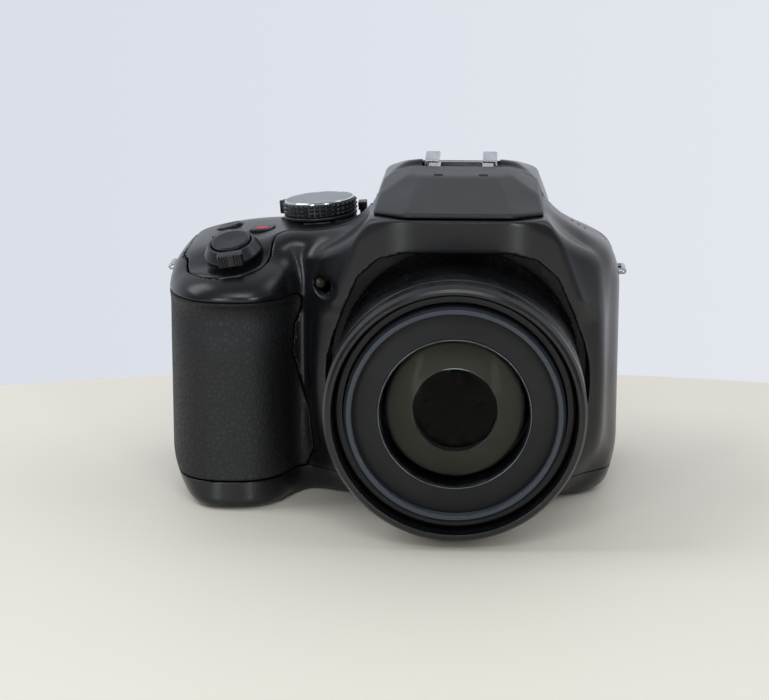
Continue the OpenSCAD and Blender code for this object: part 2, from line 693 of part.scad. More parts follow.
shutter_r = shutter_d / 2;
module shutter_button() {
    color("#7d8186") on_shutter() {
        translate([0, 0, 2.4]) cylinder(r = shutter_r, h = 1.5);
        translate([0, 0, 3.9]) cylinder(r1 = shutter_r, r2 = shutter_r - 0.5, h = 0.4);
        translate([0, 0, -4]) cylinder(r = 2.2, h = 6.41);
        translate([0, 0, -4.8]) cylinder(r = 3, h = 0.81);
    }
}
module zoom_lever() {
    color("#2c2e31") on_shutter() difference() {
        union() {
            translate([0, 0, 0.3]) cylinder(d1 = lever_d, d2 = lever_d - 3.6, h = 3.2);
            translate([-3.6, -lever_d / 2 - 0.6, 0.5]) cube([7.2, 3.4, 2.9]);
            translate([0, 0, -3.6]) cylinder(r = 4.4, h = 4);
        }
        translate([0, 0, 1.1]) cylinder(r = shutter_r + button_gap, h = 5);
        translate([0, 0, -6]) cylinder(r = 2.26, h = 10);
    }
}
key_l = 7;
key_w = 4.4;
key_h = button_travel + 0.15;
function_r = 2.9;
module deck_key() {
    translate([0, 0, -3]) linear_extrude(3 + key_h) oblong(key_l, key_w);
    translate([0, 0, -3.8]) linear_extrude(0.81) oblong(key_l + 1.4, key_w + 1.4);
}
module record_button() {
    color("#54585d") on_head(record_at, deck_tilt) deck_key();
}
module burst_button() {
    color("#54585d") on_head(burst_at, fall_tilt) deck_key();
}
module function_button() {
    color("#54585d") on_head(function_at, fall_tilt) back_key(function_r);
}
module flash_lever() {
    color("#232527") on_head(lever_at, deck_tilt, 0) {
        translate([-0.8, -2.4, -5.4]) cube([1.6, 4.8, 7.2]);
        translate([-1.2, -2.4, 1.7]) cube([2.4, 4.8, 2.3]);
        translate([-2, -2.8, -6.2]) cube([4, 5.6, 0.81]);
    }
}

// Accessory shoe, a folded channel with two lips.
shoe_top = shoe_floor + 0.8 + shoe_slot_h + shoe_t;
module hot_shoe() {
    color("#c3c6ca") difference() {
        translate([0, shoe_y + shoe_l, shoe_floor]) rotate([90, 0, 0]) linear_extrude(shoe_l) polygon([
            [-shoe_w / 2, 0], [shoe_w / 2, 0],
            [shoe_w / 2, shoe_top - shoe_floor], [shoe_lip / 2, shoe_top - shoe_floor],
            [shoe_lip / 2, 0.8 + shoe_slot_h], [shoe_slot / 2, 0.8 + shoe_slot_h], [shoe_slot / 2, 0.8],
            [-shoe_slot / 2, 0.8], [-shoe_slot / 2, 0.8 + shoe_slot_h], [-shoe_lip / 2, 0.8 + shoe_slot_h],
            [-shoe_lip / 2, shoe_top - shoe_floor], [-shoe_w / 2, shoe_top - shoe_floor]]);
        translate([-6, shoe_y + 3, shoe_floor - 1]) cube([12, 12, 1.81]);
    }
}
module shoe_contacts() {
    color("#1d1e20") {
        translate([-5.9, shoe_y + 3.1, shoe_floor]) cube([11.8, 11.8, 0.72]);
        for (at = [[0, 9], [-3.6, 12.4], [3.6, 12.4], [3.6, 5.6]])
            translate([at[0], shoe_y + at[1], shoe_floor + 0.7]) cylinder(r = 1, h = 0.08, $fn = 24);
    }
}

// Flash head, hinged at its back edge.
pivot_r = 4.2;
pivot_y = -5;
pivot_z = hump_h - pivot_r;
pin_r = 1.5;
flash_wall = 1.7;
function side_at(z) = 25.3 - 0.381 * (z - hump_h + 12.5);
rise = flash_h;
knee = [roof_half + 7.8, 4.1];
module flash_form(in) {
    low = flash_seam - (in > 0 ? 3 : 0);
    end = in > 0 ? 0 : pivot_r + 0.1;
    f = fascia_y + 1.2;
    hull() for (m = [-1, 1]) {
        for (y = [f + 1.4 * in, f + 1.4 * in + 0.01]) translate([m * (14.5 - in), y, low]) cube(0.01);
        translate([m * (side_at(flash_seam) - in), f + 6.8 + in, low]) cube(0.01);
        translate([m * (10 - in / 2), f + 2.86 * rise + in, hump_h - in]) cube(0.01);
        translate([m * (roof_half - in / 2), f + 3.2 * rise + in, hump_h - in]) cube(0.01);
        translate([m * (knee[0] - in), f + 2.6 * rise + in, hump_h - knee[1] - in * 0.7]) cube(0.01);
        translate([m * (side_at(flash_seam) - in), pivot_y + end, low]) cube(0.01);
        translate([m * (knee[0] - in), pivot_y + end, hump_h - knee[1] - in * 0.7]) cube(0.01);
        translate([m * (roof_half - in / 2), pivot_y + end, hump_h - in]) cube(0.01);
    }
}
module across(r, from, to) {
    translate([from, pivot_y, pivot_z]) rotate([0, 90, 0]) cylinder(r = r, h = to - from);
}
rib_z = flash_seam + 1.6;
ear_x = 14.6;
ear_t = 1.2;
ear_w = 1.9;
module flash_cover() {
    color("#33363a") difference() {
        intersection() {
            flash_form(0);
            union() {
                translate([-40, fascia_y, flash_seam]) cube([80, pivot_y - fascia_y, 20]);
                across(pivot_r - 0.02, -40, 40);
            }
            translate([-40, fascia_y, flash_seam]) cube([80, 80, 20]);
        }
        difference() {
            flash_form(flash_wall);
            for (m = [-1, 1]) {
                across(2.2, m * (ear_x + ear_t + 2) - 1.6, m * (ear_x + ear_t + 2) + 1.6);
                translate([m * 8 - 0.6, fascia_y + 16.2, rib_z]) cube([1.2, 5, 10]);
            }
        }
        across(pivot_r - flash_wall, -11.7, 11.7);
        for (m = [-1, 1]) {
            across(ear_w + 0.4, m * (ear_x + ear_t / 2) - 0.9, m * (ear_x + ear_t / 2) + 0.9);
            translate([m * (ear_x + ear_t / 2) - 0.9, pivot_y - ear_w - 0.4, flash_seam - 1])
                cube([1.8, 20, pivot_z - flash_seam + 1.6]);
        }
        across(pin_r + 0.05, -18.5, 18.5);
    }
}
module flash_holder() {
    f = fascia_y + 1.2;
    color("#d8dade") translate([13, 0, 0]) rotate([0, -90, 0]) linear_extrude(26) polygon([
        [flash_seam - 2.8, f + 5.6], [flash_seam - 5.7, f + 8.5], [flash_seam - 5.7, f + 17],
        [flash_seam - 3, f + 20.4], [rib_z - 0.25, f + 20.4], [rib_z - 0.25, f + 14]]);
}
module flash_window() {
    f = fascia_y + 1.2;
    color("#e8ecf0") translate([13, 0, 0]) rotate([0, -90, 0]) linear_extrude(26) polygon([
        [flash_seam - 2.87, f + 5.53], [flash_seam - 5.77, f + 8.43],
        [flash_seam - 6.4, f + 7.8], [flash_seam - 3.5, f + 4.9]]);
}
module flash_bracket() {
    color("#8b8f94") {
        translate([-16, pivot_y - 7, flash_seam - 4.4]) cube([32, 0.2 - pivot_y + 6.9, 1.2]);
        for (m = [0, 1]) mirror([m, 0, 0]) {
            translate([ear_x, pivot_y - ear_w, flash_seam - 3.21])
                cube([ear_t, 2 * ear_w, pivot_z - flash_seam + 3.21]);
            across(ear_w, ear_x, ear_x + ear_t);
            across(pin_r, ear_x + ear_t - 0.01, 18.2);
        }
    }
}

// Back of the camera.
module monitor_module() {
    color("#4a4d52") on_back(monitor_x, monitor_z) translate([0, 0, module_y - back_y])
        linear_extrude(back_y - module_y - 1.2) square([monitor_w - 4, monitor_h - 2], center = true);
}
module monitor_window() {
    color("#101114") on_back(monitor_x, monitor_z) translate([0, 0, -1.1])
        linear_extrude(1.1 + 0.5) round_rect(monitor_w, monitor_h, 2.4);
}
module eyecup() {
    color("#1b1c1e") translate([0, finder_y, finder_z]) rotate([-90, 0, 0]) difference() {
        union() {
            translate([0, 0, 0.15]) linear_extrude(5.05) round_rect(33, 19.4, 5);
            translate([0, 0, -4]) linear_extrude(4.2) round_rect(20.4, 14.4, 2.7);
        }
        translate([0, 0, -6]) linear_extrude(20) round_rect(17.4, 11.4, 2);
        translate([0, 0, 2]) linear_extrude(20) round_rect(27, 15, 4);
    }
}
module eyepiece_lens() {
    color("#3c4650") translate([0, finder_y, finder_z]) rotate([-90, 0, 0]) translate([0, 0, -3])
        linear_extrude(2.4) round_rect(17, 11, 1.8);
}
dioptre_r = 5;
module dioptre_dial() {
    color("#232527") translate([finder_half - 4, 29, finder_z]) rotate([0, 90, 0]) difference() {
        cylinder(r = dioptre_r, h = 5.4);
        translate([0, 0, -1]) cylinder(r = 1.2, h = 3);
    }
}
module rear_dial() {
    color("#232527") translate([wheel_x, wheel_y, wheel_z - wheel_h / 2]) difference() {
        cylinder(r = wheel_r, h = wheel_h);
        translate([0, 0, -1]) cylinder(r = axle_r + 0.08, h = wheel_h + 2);
    }
}
module back_key(r, deep = 3) {
    translate([0, 0, -deep]) cylinder(r = r, h = deep + key_h);
    translate([0, 0, -deep - 1]) cylinder(r = r + 0.8, h = 1.01);
}
module play_button() {
    color("#3a3d41") on_back(play_at[0], play_at[1]) back_key(3.0);
}
module quick_button() {
    color("#3a3d41") on_back(quick_at[0], quick_at[1]) back_key(3.0);
}
module display_button() {
    color("#3a3d41") on_back(display_at[0], display_at[1]) back_key(3.0);
}
module finder_button() {
    color("#3a3d41") on_slope(finder_at) back_key(2.9, 4.8);
}
module lock_button() {
    color("#3a3d41") on_slope(lock_at) back_key(2.9, 4.8);
}
menu_r = 4.6;
module menu_button() {
    color("#3a3d41") on_back(pad_x, pad_z) {
        translate([0, 0, -2.4]) cylinder(r = menu_r, h = 2.4 + key_h);
    }
}
module cursor_key(turn) {
    color("#2c2e31") on_back(pad_x, pad_z) rotate(turn) translate([0, 0, -2.4])
        linear_extrude(2.4 + key_h) intersection() {
            difference() {
                circle(r = pad_r);
                circle(r = menu_r + button_gap);
            }
            polygon([[0.3, 0], [20, 19.7], [20, -19.7]]);
        }
}
module up_key() {
    cursor_key(-90);
}
module down_key() {
    cursor_key(90);
}
module left_key() {
    cursor_key(0);
}
module right_key() {
    cursor_key(180);
}

// Base and grip.
door_t = 1.7;
module battery_door() {
    color("#26282b") difference() {
        union() {
            translate([door_x0, door_y0, 0.15]) cube([door_w - 3.2, door_l, door_t]);
            translate([door_x0 + door_w - 3.3, door_y0, 0.15]) cube([1.8, door_l, door_t]);
            translate([hinge_x, door_y0 - 1.4, hinge_z]) rotate([-90, 0, 0])
                cylinder(r = hinge_r, h = door_l + 2.8, $fn = 32);
        }
        translate([door_x0 + 2.4, door_y0 + door_l / 2 - 6, -0.5]) cube([6.5 + 2.2, 12, 1.4]);
    }
}
module door_latch() {
    color("#3a3d41") translate([door_x0 + 2.6, door_y0 + door_l / 2 - 5.7, 0.1]) difference() {
        cube([6.2, 11.4, 0.75]);
        for (i = [0 : 3]) translate([1 + 1.2 * i, 2, -0.1]) cube([0.5, 7.4, 0.35]);
    }
}
battery_x0 = door_x0 + 0.9;
battery_y0 = door_y0 + 1.2;
module battery() {
    color("#2b3a4a") translate([battery_x0, battery_y0, 2.6]) cube([18, 33, 44]);
}
module battery_box() {
    color("#1d1e20") difference() {
        translate([battery_x0 - 1.4, battery_y0 - 1.4, 8.4]) cube([18 + 6.6, 35.8, 40.8]);
        translate([battery_x0 - 0.2, battery_y0 - 0.2, 0]) cube([18.4, 33.4, 46.8]);
        translate([battery_x0 + 19.4, battery_y0 + 2.8, 0]) cube([2.6, 24.4, 36.4]);
    }
}
module memory_card() {
    color("#3d5a8a") translate([battery_x0 + 19.6, battery_y0 + 3, 3.2]) cube([2.1, 24, 32]);
}
module tripod_socket() {
    color("#b9bcc0") difference() {
        union() {
            cylinder(r = socket_r, h = tripod_depth + 1.2);
            translate([0, 0, 0]) cylinder(r = socket_r + 2, h = 1.4);
        }
        translate([0, 0, -1]) cylinder(d = tripod_d, h = tripod_depth + 1);
    }
}
lug_r = 0.9;
lug_out = 1.5;
module lug(side) {
    x = side > 0 ? right_x : left_x + lug_in;
    translate([x, lug_y, lug_z]) {
        for (y = [-3.6, 3.6]) translate([-4.2 * side, y, 0]) rotate([0, side * 90, 0])
            cylinder(r = lug_r, h = 4.2 + lug_out, $fn = 32);
        translate([side * lug_out, -3.6, 0]) rotate([-90, 0, 0]) cylinder(r = lug_r, h = 7.2, $fn = 32);
        for (y = [-3.6, 3.6]) translate([side * lug_out, y, 0]) sphere(r = lug_r, $fn = 32);
    }
}
module strap_lugs() {
    color("#c3c6ca") {
        lug(1);
        lug(-1);
    }
}
module lug_plates() {
    color("#17181a") for (side = [-1, 1]) {
        x = side > 0 ? right_x - lug_sink + 0.1 : left_x + lug_in + lug_sink - 0.1;
        translate([x, lug_y, lug_z]) rotate([0, side * 90, 0]) linear_extrude(0.8) difference() {
            square([5, 12], center = true);
            for (y = [-3.6, 3.6]) translate([0, y]) circle(r = lug_r + 0.1, $fn = 24);
        }
    }
}
socket_hinge = [1.1, socket_w / 2 - 1.2];
module socket_door() {
    color("#26282b") on_side() translate([0, 0, -socket_h / 2]) {
        translate([0.1, -socket_w / 2, 0]) cube([1.6, socket_w - 1.6, socket_h]);
        translate(socket_hinge) cylinder(r = 0.9, h = socket_h, $fn = 32);
        translate([0.3, socket_w / 2 - 1.8, 0]) cube([1.4, 0.6, socket_h]);
    }
}
module socket_block() {
    color("#4a4d52") on_side() difference() {
        translate([2.1, -4.6, -9.4]) cube([4.8, 9.2, 18.8]);
        translate([2, -1.6, 1.4]) cube([4.2, 3.2, 6.6]);
        translate([2, -1.5, -8.6]) cube([4.2, 3, 7.6]);
    }
}
module focus_lamp() {
    color("#6a3a1e") translate([lamp_at[0], front_y - 6.6, lamp_at[1]]) rotate([-90, 0, 0]) {
        cylinder(r = 1.6, h = 6);
    }
}

front_cover();
rear_cover();
top_cover();
base_cover();
grip_skin();
lens_base();
fixed_barrel();
zoom_motor();
cam_tube();
middle_barrel();
front_barrel();
name_ring();
front_lens();
zoom_cell();
zoom_lens();
focus_lens();
image_sensor();
main_board();
mode_dial();
dial_cap();
power_lever();
shutter_button();
zoom_lever();
record_button();
burst_button();
function_button();
flash_lever();
hot_shoe();
shoe_contacts();
flash_cover();
flash_holder();
flash_window();
flash_bracket();
monitor_module();
monitor_window();
eyecup();
eyepiece_lens();
dioptre_dial();
rear_dial();
finder_button();
lock_button();
play_button();
quick_button();
menu_button();
up_key();
down_key();
left_key();
right_key();
display_button();
battery_door();
door_latch();
battery();
battery_box();
memory_card();
tripod_socket();
strap_lugs();
lug_plates();
socket_door();
socket_block();
focus_lamp();
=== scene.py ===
# %% [markdown]
# A bridge camera is a moulded black casing around a lens that telescopes.
# Its solids are packed already, so this lesson only dresses them: finer skins, real edges and finishes.
# Everything stays in the frame of the solids, so each piece is made where it belongs and is never fitted.

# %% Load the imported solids
import bpy
import bmesh
import json
import math
import numpy as np
from mathutils import Matrix, Vector


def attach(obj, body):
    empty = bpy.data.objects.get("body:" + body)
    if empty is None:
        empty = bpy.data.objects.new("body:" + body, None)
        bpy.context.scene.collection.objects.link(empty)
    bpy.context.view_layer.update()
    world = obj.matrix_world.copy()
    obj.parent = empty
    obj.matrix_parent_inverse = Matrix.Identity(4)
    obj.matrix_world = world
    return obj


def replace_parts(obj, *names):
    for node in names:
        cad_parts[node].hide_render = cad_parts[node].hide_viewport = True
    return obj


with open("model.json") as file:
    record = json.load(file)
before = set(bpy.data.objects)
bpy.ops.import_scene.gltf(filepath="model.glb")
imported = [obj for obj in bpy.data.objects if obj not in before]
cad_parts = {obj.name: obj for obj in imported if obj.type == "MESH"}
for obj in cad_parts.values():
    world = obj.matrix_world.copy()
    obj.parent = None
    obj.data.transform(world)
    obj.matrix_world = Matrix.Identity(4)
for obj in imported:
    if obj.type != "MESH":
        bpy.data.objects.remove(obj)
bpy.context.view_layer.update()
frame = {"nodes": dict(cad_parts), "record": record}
nodes = frame["nodes"]
body_of_node = {n: b for b, names in frame["record"]["behaviour"]["bodies"].items() for n in names}
slot_of_node = {part["node"]: part["material_slot"] for part in frame["record"]["subparts"]}

# %% [markdown]
# The camera of the scene stands where the photographer stood: a little above the lens, almost square to it.
# A long lens far away keeps the lines straight. The aim is found in a few steps, so that the centre of the
# lens ring lands on its own pixel without any lens shift, because shift would follow into the other views.

# %% Stand where the photograph was taken
PHOTO_W, PHOTO_H = 769, 700
ring_centre = np.array([0.0, -0.077, 0.037])
ring_pixel = (454.5, 417.0)
focal_px, distance = 2300.0, 0.605
rise, turn = math.radians(15.5), math.radians(1.0)
towards_eye = np.array([math.sin(turn) * math.cos(rise), -math.cos(turn) * math.cos(rise), math.sin(rise)])
eye = ring_centre + towards_eye * distance
yaw, pitch = math.atan2(-towards_eye[0], -towards_eye[1]), -rise
for step in range(20):
    look = np.array([math.sin(yaw) * math.cos(pitch), math.cos(yaw) * math.cos(pitch), math.sin(pitch)])
    across = np.cross(look, [0, 0, 1])
    across /= np.linalg.norm(across)
    above = np.cross(across, look)
    ray = ring_centre - eye
    yaw -= (ring_pixel[0] - PHOTO_W / 2) / focal_px - ray @ across / (ray @ look)
    pitch -= (PHOTO_H / 2 - ring_pixel[1]) / focal_px - ray @ above / (ray @ look)
view = bpy.data.cameras.new("photo_view")
view.sensor_width = 36.0
view.lens = focal_px / PHOTO_W * view.sensor_width
view.clip_start, view.clip_end = 0.01, 20
eye_object = bpy.data.objects.new("photo_view", view)
eye_object.matrix_world = Matrix([[across[i], above[i], -look[i], eye[i]] for i in range(3)] + [[0, 0, 0, 1]])
bpy.context.scene.collection.objects.link(eye_object)
bpy.context.scene.camera = eye_object
print("focal length", round(view.lens, 1), "mm")

# %% [markdown]
# Finishes are made with nodes only. One function adds a node with its settings and links, and colours are
# written as the hex values of a screen and turned to linear light. All patterns are in millimetres on the
# object, so a grain keeps its real size from any distance.

# %% Colour and node helpers
MM = 0.001


def linear(code):
    """A screen colour such as 1b1c1e as linear light, with full alpha."""
    parts = [int(code[i:i + 2], 16) / 255 for i in (0, 2, 4)]
    return [c / 12.92 if c <= 0.04045 else ((c + 0.055) / 1.055) ** 2.4 for c in parts] + [1.0]


def add(tree, kind, values=None, links=None, **settings):
    """Adds one node: settings are its own properties, values and links go to its inputs."""
    node = tree.nodes.new(kind)
    for key, value in settings.items():
        setattr(node, key, value)
    for key, value in (values or {}).items():
        node.inputs[key].default_value = value
    for key, source in (links or {}).items():
        tree.links.new(source, node.inputs[key])
    return node


def new_finish(name, **values):
    """A material with one shader, and the shader's plain values."""
    material = bpy.data.materials.new(name)
    material.use_nodes = True
    shader = material.node_tree.nodes["Principled BSDF"]
    for key, value in values.items():
        shader.inputs[key.replace("_", " ")].default_value = value
    return material, material.node_tree, shader


def dress(tree, shader, **sources):
    """Links outputs to the inputs of a shader."""
    for key, source in sources.items():
        tree.links.new(source, shader.inputs[key.replace("_", " ")])


# %% [markdown]
# The casing is polycarbonate moulded in a spark-eroded tool. That gives a fine even grain that breaks up
# the reflections, with faint cloudy differences in gloss where hands have been. The same recipe with another
# grain, depth and gloss makes the matte flash lid, the satin keys and the dead black inner parts.

# %% Moulded plastics
def moulded_plastic(name, colour, worn, gloss, grain, depth):
    """Moulded plastic: grain and depth are in millimetres, gloss is the mean roughness."""
    hand_mark, cloud = 22, 0.06
    material, tree, shader = new_finish(name, IOR=1.5)
    where = add(tree, "ShaderNodeTexCoord").outputs["Object"]
    fine = add(tree, "ShaderNodeTexNoise", {"Scale": 1000 / grain, "Detail": 2.0, "Roughness": 0.6},
               {"Vector": where})
    hands = add(tree, "ShaderNodeTexNoise", {"Scale": 1000 / hand_mark, "Detail": 3.0}, {"Vector": where})
    tone = add(tree, "ShaderNodeMix", {6: linear(colour), 7: linear(worn)}, {"Factor": hands.outputs["Fac"]},
               data_type="RGBA")
    rough = add(tree, "ShaderNodeMapRange", {"From Min": 0.3, "From Max": 0.7, "To Min": gloss - cloud,
                                             "To Max": gloss + cloud}, {"Value": hands.outputs["Fac"]})
    bump = add(tree, "ShaderNodeBump", {"Strength": 1.0, "Distance": depth * MM},
               {"Height": fine.outputs["Fac"]})
    dress(tree, shader, Base_Color=tone.outputs[2], Roughness=rough.outputs["Result"],
          Normal=bump.outputs["Normal"])
    return material


finish = {
    "casing": moulded_plastic("polycarbonate_spark_grain", "0f1013", "131418", 0.29, 0.34, 0.012),
    "flash_casing": moulded_plastic("polycarbonate_matte", "1e2022", "222427", 0.48, 0.4, 0.03),
    "inner_black": moulded_plastic("dead_matt_black_plastic", "0d0d0e", "121213", 0.75, 0.3, 0.01),
    "dial_side": moulded_plastic("satin_black_plastic", "15161a", "1a1b1f", 0.32, 0.3, 0.006),
    "key": moulded_plastic("satin_grey_key", "1c1e20", "242629", 0.34, 0.3, 0.006),
    "cell": moulded_plastic("battery_wrap", "20252c", "262b32", 0.5, 0.4, 0.01),
}
print("plastics:", ", ".join(sorted(finish)))

# %% [markdown]
# The grip skin is soft rubber pressed with a leather grain: rounded islands about a millimetre and a half
# across with creases between them. Smooth cells of unequal size give the islands, a broad noise shifts them
# so that they don't look laid out, and the creases stay a little rougher than the tops. The creases are also
# painted a little darker than the tops: painted shade in the creases.

# %% Grained rubber
def grained_rubber(name, colour, crease_shade, island, depth):
    """Pressed rubber: the size of the islands and the depth of the creases are in millimetres."""
    material, tree, shader = new_finish(name, IOR=1.5)
    where = add(tree, "ShaderNodeTexCoord").outputs["Object"]
    drift = add(tree, "ShaderNodeTexNoise", {"Scale": 1000 / 4.0, "Detail": 2.0}, {"Vector": where})
    nudge = add(tree, "ShaderNodeVectorMath", {1: (0.5, 0.5, 0.5)}, {0: drift.outputs["Color"]},
                operation="SUBTRACT")
    shift = add(tree, "ShaderNodeVectorMath", {"Scale": 1.6 * MM}, {0: nudge.outputs[0]}, operation="SCALE")
    place = add(tree, "ShaderNodeVectorMath", None, {0: where, 1: shift.outputs[0]}, operation="ADD")
    cells = add(tree, "ShaderNodeTexVoronoi", {"Scale": 1000 / island, "Randomness": 0.9},
                {"Vector": place.outputs[0]}, feature="DISTANCE_TO_EDGE")
    tops = add(tree, "ShaderNodeMapRange", {"From Min": 0.0, "From Max": 0.32},
               {"Value": cells.outputs["Distance"]}, interpolation_type="SMOOTHSTEP").outputs["Result"]
    pores = add(tree, "ShaderNodeTexNoise", {"Scale": 1000 / 0.3, "Detail": 2.0}, {"Vector": where})
    height = add(tree, "ShaderNodeMath", {1: 0.25}, {0: pores.outputs["Fac"], 2: tops}, operation="MULTIPLY_ADD")
    bump = add(tree, "ShaderNodeBump", {"Strength": 1.0, "Distance": depth * MM}, {"Height": height.outputs[0]})
    # The creases take a darker tone than the tops: painted shade in the creases.
    tone = add(tree, "ShaderNodeMix", {6: linear(crease_shade), 7: linear(colour)}, {"Factor": tops}, data_type="RGBA")
    rough = add(tree, "ShaderNodeMapRange", {"To Min": 0.66, "To Max": 0.52}, {"Value": tops})
    dress(tree, shader, Base_Color=tone.outputs[2], Roughness=rough.outputs["Result"],
          Normal=bump.outputs["Normal"])
    return material


finish["grip_rubber"] = grained_rubber("rubber_leather_grain", "121315", "0e0f10", 1.5, 0.05)
print("rubber:", finish["grip_rubber"].name)

# %% [markdown]
# The barrels are turned tubes with satin paint. A lathe leaves rings, so a wave along the lens axis that
# is far finer than the eye can count stretches each highlight a little across the tube.

# %% Turned and plated metals
def turned_metal(name, colour, metallic, gloss, pitch, depth, centre, axis, flat):
    """Turned metal with rings of the given pitch: on a face where flat is true, else along the axis."""
    material, tree, shader = new_finish(name, Metallic=metallic, Base_Color=linear(colour))
    where = add(tree, "ShaderNodeTexCoord").outputs["Object"]
    seat = add(tree, "ShaderNodeMapping", {"Location": [-c for c in centre]}, {"Vector": where},
               vector_type="POINT")
    turn_in = add(tree, "ShaderNodeVectorRotate", None, {"Vector": seat.outputs[0]},
                  rotation_type="EULER_XYZ")
    turn_in.inputs["Rotation"].default_value = axis
    kind = "rings" if flat else "bands"
    course = {"wave_type": kind.upper(), kind + "_direction": "Z"}
    values = {"Scale": 1000 / pitch / 20 * math.pi, "Distortion": 0.6, "Detail": 1.0, "Detail Scale": 2.0}
    rings = add(tree, "ShaderNodeTexWave", values, {"Vector": turn_in.outputs[0]}, **course)
    dust = add(tree, "ShaderNodeTexNoise", {"Scale": 1000 / 9, "Detail": 4.0}, {"Vector": where})
    rough = add(tree, "ShaderNodeMapRange", {"From Min": 0.3, "From Max": 0.7, "To Min": gloss - 0.05,
                                             "To Max": gloss + 0.05}, {"Value": dust.outputs["Fac"]})
    bump = add(tree, "ShaderNodeBump", {"Strength": 1.0, "Distance": depth * MM},
               {"Height": rings.outputs["Fac"]})
    dress(tree, shader, Roughness=rough.outputs["Result"], Normal=bump.outputs["Normal"])
    return material


lens_frame = ((0, 0, 37 * MM), (math.pi / 2, 0, 0))
for slot, *recipe in (("barrel", "aluminium_satin_paint", "0d0e10", 0.0, 0.28, 0.4, 0.002),
                      ("barrel_front", "aluminium_blue_black", "474c54", 0.8, 0.32, 0.4, 0.002),
                      ("barrel_dark", "anodised_matt_black", "0a0a0c", 0.0, 0.5, 0.4, 0.002),
                      ("steel", "zinc_plated_steel", "9a9ca0", 1.0, 0.38, 0.6, 0.004),
                      ("silver", "satin_chrome", "b0b2b6", 1.0, 0.24, 0.5, 0.001)):
    finish[slot] = turned_metal(*recipe, *lens_frame, False)
    print(slot + ":", finish[slot].name)

# %% [markdown]
# The last finishes: glass whose coating hardly reflects, a green circuit board, a mirror of drawn aluminium,
# amber and clear acrylic, the red dot of the record key, bright rings and the spun tops of the dials.
# Their gloss drifts a little, and mostly their tone too, because a perfectly even surface looks like paper.

# %% Glass, board and small finishes
def tinted(name, low, high, size, rough, **values):
    """A finish whose colour drifts between two tones over the given size in millimetres."""
    material, tree, shader = new_finish(name, **values)
    where = add(tree, "ShaderNodeTexCoord").outputs["Object"]
    drift = add(tree, "ShaderNodeTexNoise", {"Scale": 1000 / size, "Detail": 3.0}, {"Vector": where})
    tone = add(tree, "ShaderNodeMix", {6: linear(low), 7: linear(high)}, {"Factor": drift.outputs["Fac"]},
               data_type="RGBA")
    gloss = add(tree, "ShaderNodeMapRange", {"From Min": 0.3, "From Max": 0.7, "To Min": rough * 0.8,
                                             "To Max": rough * 1.2}, {"Value": drift.outputs["Fac"]})
    dress(tree, shader, Base_Color=tone.outputs[2], Roughness=gloss.outputs["Result"])
    return material


finish["board"] = tinted("solder_mask", "0f3d26", "164d31", 3, 0.3)
finish["screen"] = tinted("cover_glass_black", "040405", "060709", 12, 0.06, IOR=1.5)
finish["reflector"] = tinted("drawn_aluminium", "c8cbd0", "dcdee2", 2, 0.18, Metallic=1.0)
finish["lens_glass"] = tinted("coated_glass", "e9eae6", "eeeeea", 9, 0.01, IOR=1.06, Transmission_Weight=1.0)
finish["clear"] = tinted("clear_acrylic", "f0f2f5", "f6f8fa", 3, 0.08, IOR=1.49, Transmission_Weight=1.0)
finish["lamp"] = tinted("amber_acrylic", "15120b", "1a160c", 1, 0.3, IOR=1.4)
# The baffle is black; its brown olive tone is a painted reflection of the lens coatings.
finish["baffle"] = moulded_plastic("baffle_painted_coating_reflection", "35352e", "393830", 0.7, 0.3, 0.01)
# The near-black of the deep glasses is painted shade: the inside of the lens is dark because little light gets
# in.
finish["pupil"] = tinted("deep_glass_painted_shade", "050605", "070807", 4, 0.25, IOR=1.2)
finish["holder"] = tinted("polished_ring", "7d838b", "8a9098", 3, 0.22, Metallic=1.0)
finish["red"] = tinted("red_print", "b3201b", "bd2520", 1, 0.4, IOR=1.5)
finish["bright"] = tinted("bright_chamfer", "c4c7cc", "d0d3d7", 3, 0.16, Metallic=1.0)
dial_seat = ((-40.4 * MM, -3.9 * MM, 76.7 * MM), (0, math.radians(4.5), 0))
finish["dial_metal"] = turned_metal("spun_aluminium", "8f9398", 1.0, 0.3, 0.25, 0.004, *dial_seat, True)
shutter_seat = ((-63.1 * MM, -28.7 * MM, 70.7 * MM), (math.radians(-17), math.radians(9.3), 0))
finish["spun_dark"] = turned_metal("spun_dark_aluminium", "2a2c30", 0.7, 0.34, 0.25, 0.006,
                                   *shutter_seat, True)
print("finishes:", len(finish))

# %% [markdown]
# The moulded form is one rule: how far a point is from the skin. Each block of the camera is a few planes
# with a rounded maximum, and the blocks flow into each other with a rounded minimum. The solids follow the
# same rule with few faces, so a finer net of it fits over them without any fitting.

# %% The moulded form in millimetres
body_w, deck_h, hump_h, side_reach, axis_h, flash_seam = 128.9, 75.2, 91.8, 45.6, 37.0, 83.8
back_y, front_y, nose_y, fascia_y = 28.0, -25.0, -42.5, -46.0
right_x, left_x = side_reach, side_reach - body_w
wall, base_h, seam, skin_t, parting_y, key_gap = 2.0, 8.0, 0.2, 1.2, 1.0, 0.35
deck_lean, head_lean, side_lean, rear_lean = 4.5, 5.1, 16, 28.5
deck_floor, mouth_w, key_depth = 62, 22, 14


def tip(degrees):
    return math.sin(math.radians(degrees)), math.cos(math.radians(degrees))


def smax(a, b, k):
    h = np.maximum(k - np.abs(a - b), 0)
    return np.maximum(a, b) + h * h / (4 * k)


def smin(a, b, k):
    return -smax(-a, -b, k)


def deck_z(x):
    return deck_h + math.tan(math.radians(deck_lean)) * (x + 50)


def deck(x, y, z):
    s, c = tip(deck_lean)
    u = np.clip((left_x + 37.3 - x) / 12, 0, 1)
    forward = math.tan(math.radians(head_lean)) * u * u * (3 - 2 * u) * np.maximum(5 - y, 0)
    return c * (z - deck_h) - s * (x + 50) + forward


def left_fall(x, z):
    s, c = tip(side_lean)
    start = left_x + 24.3
    return c * (z - deck_z(start)) - s * (x - start)


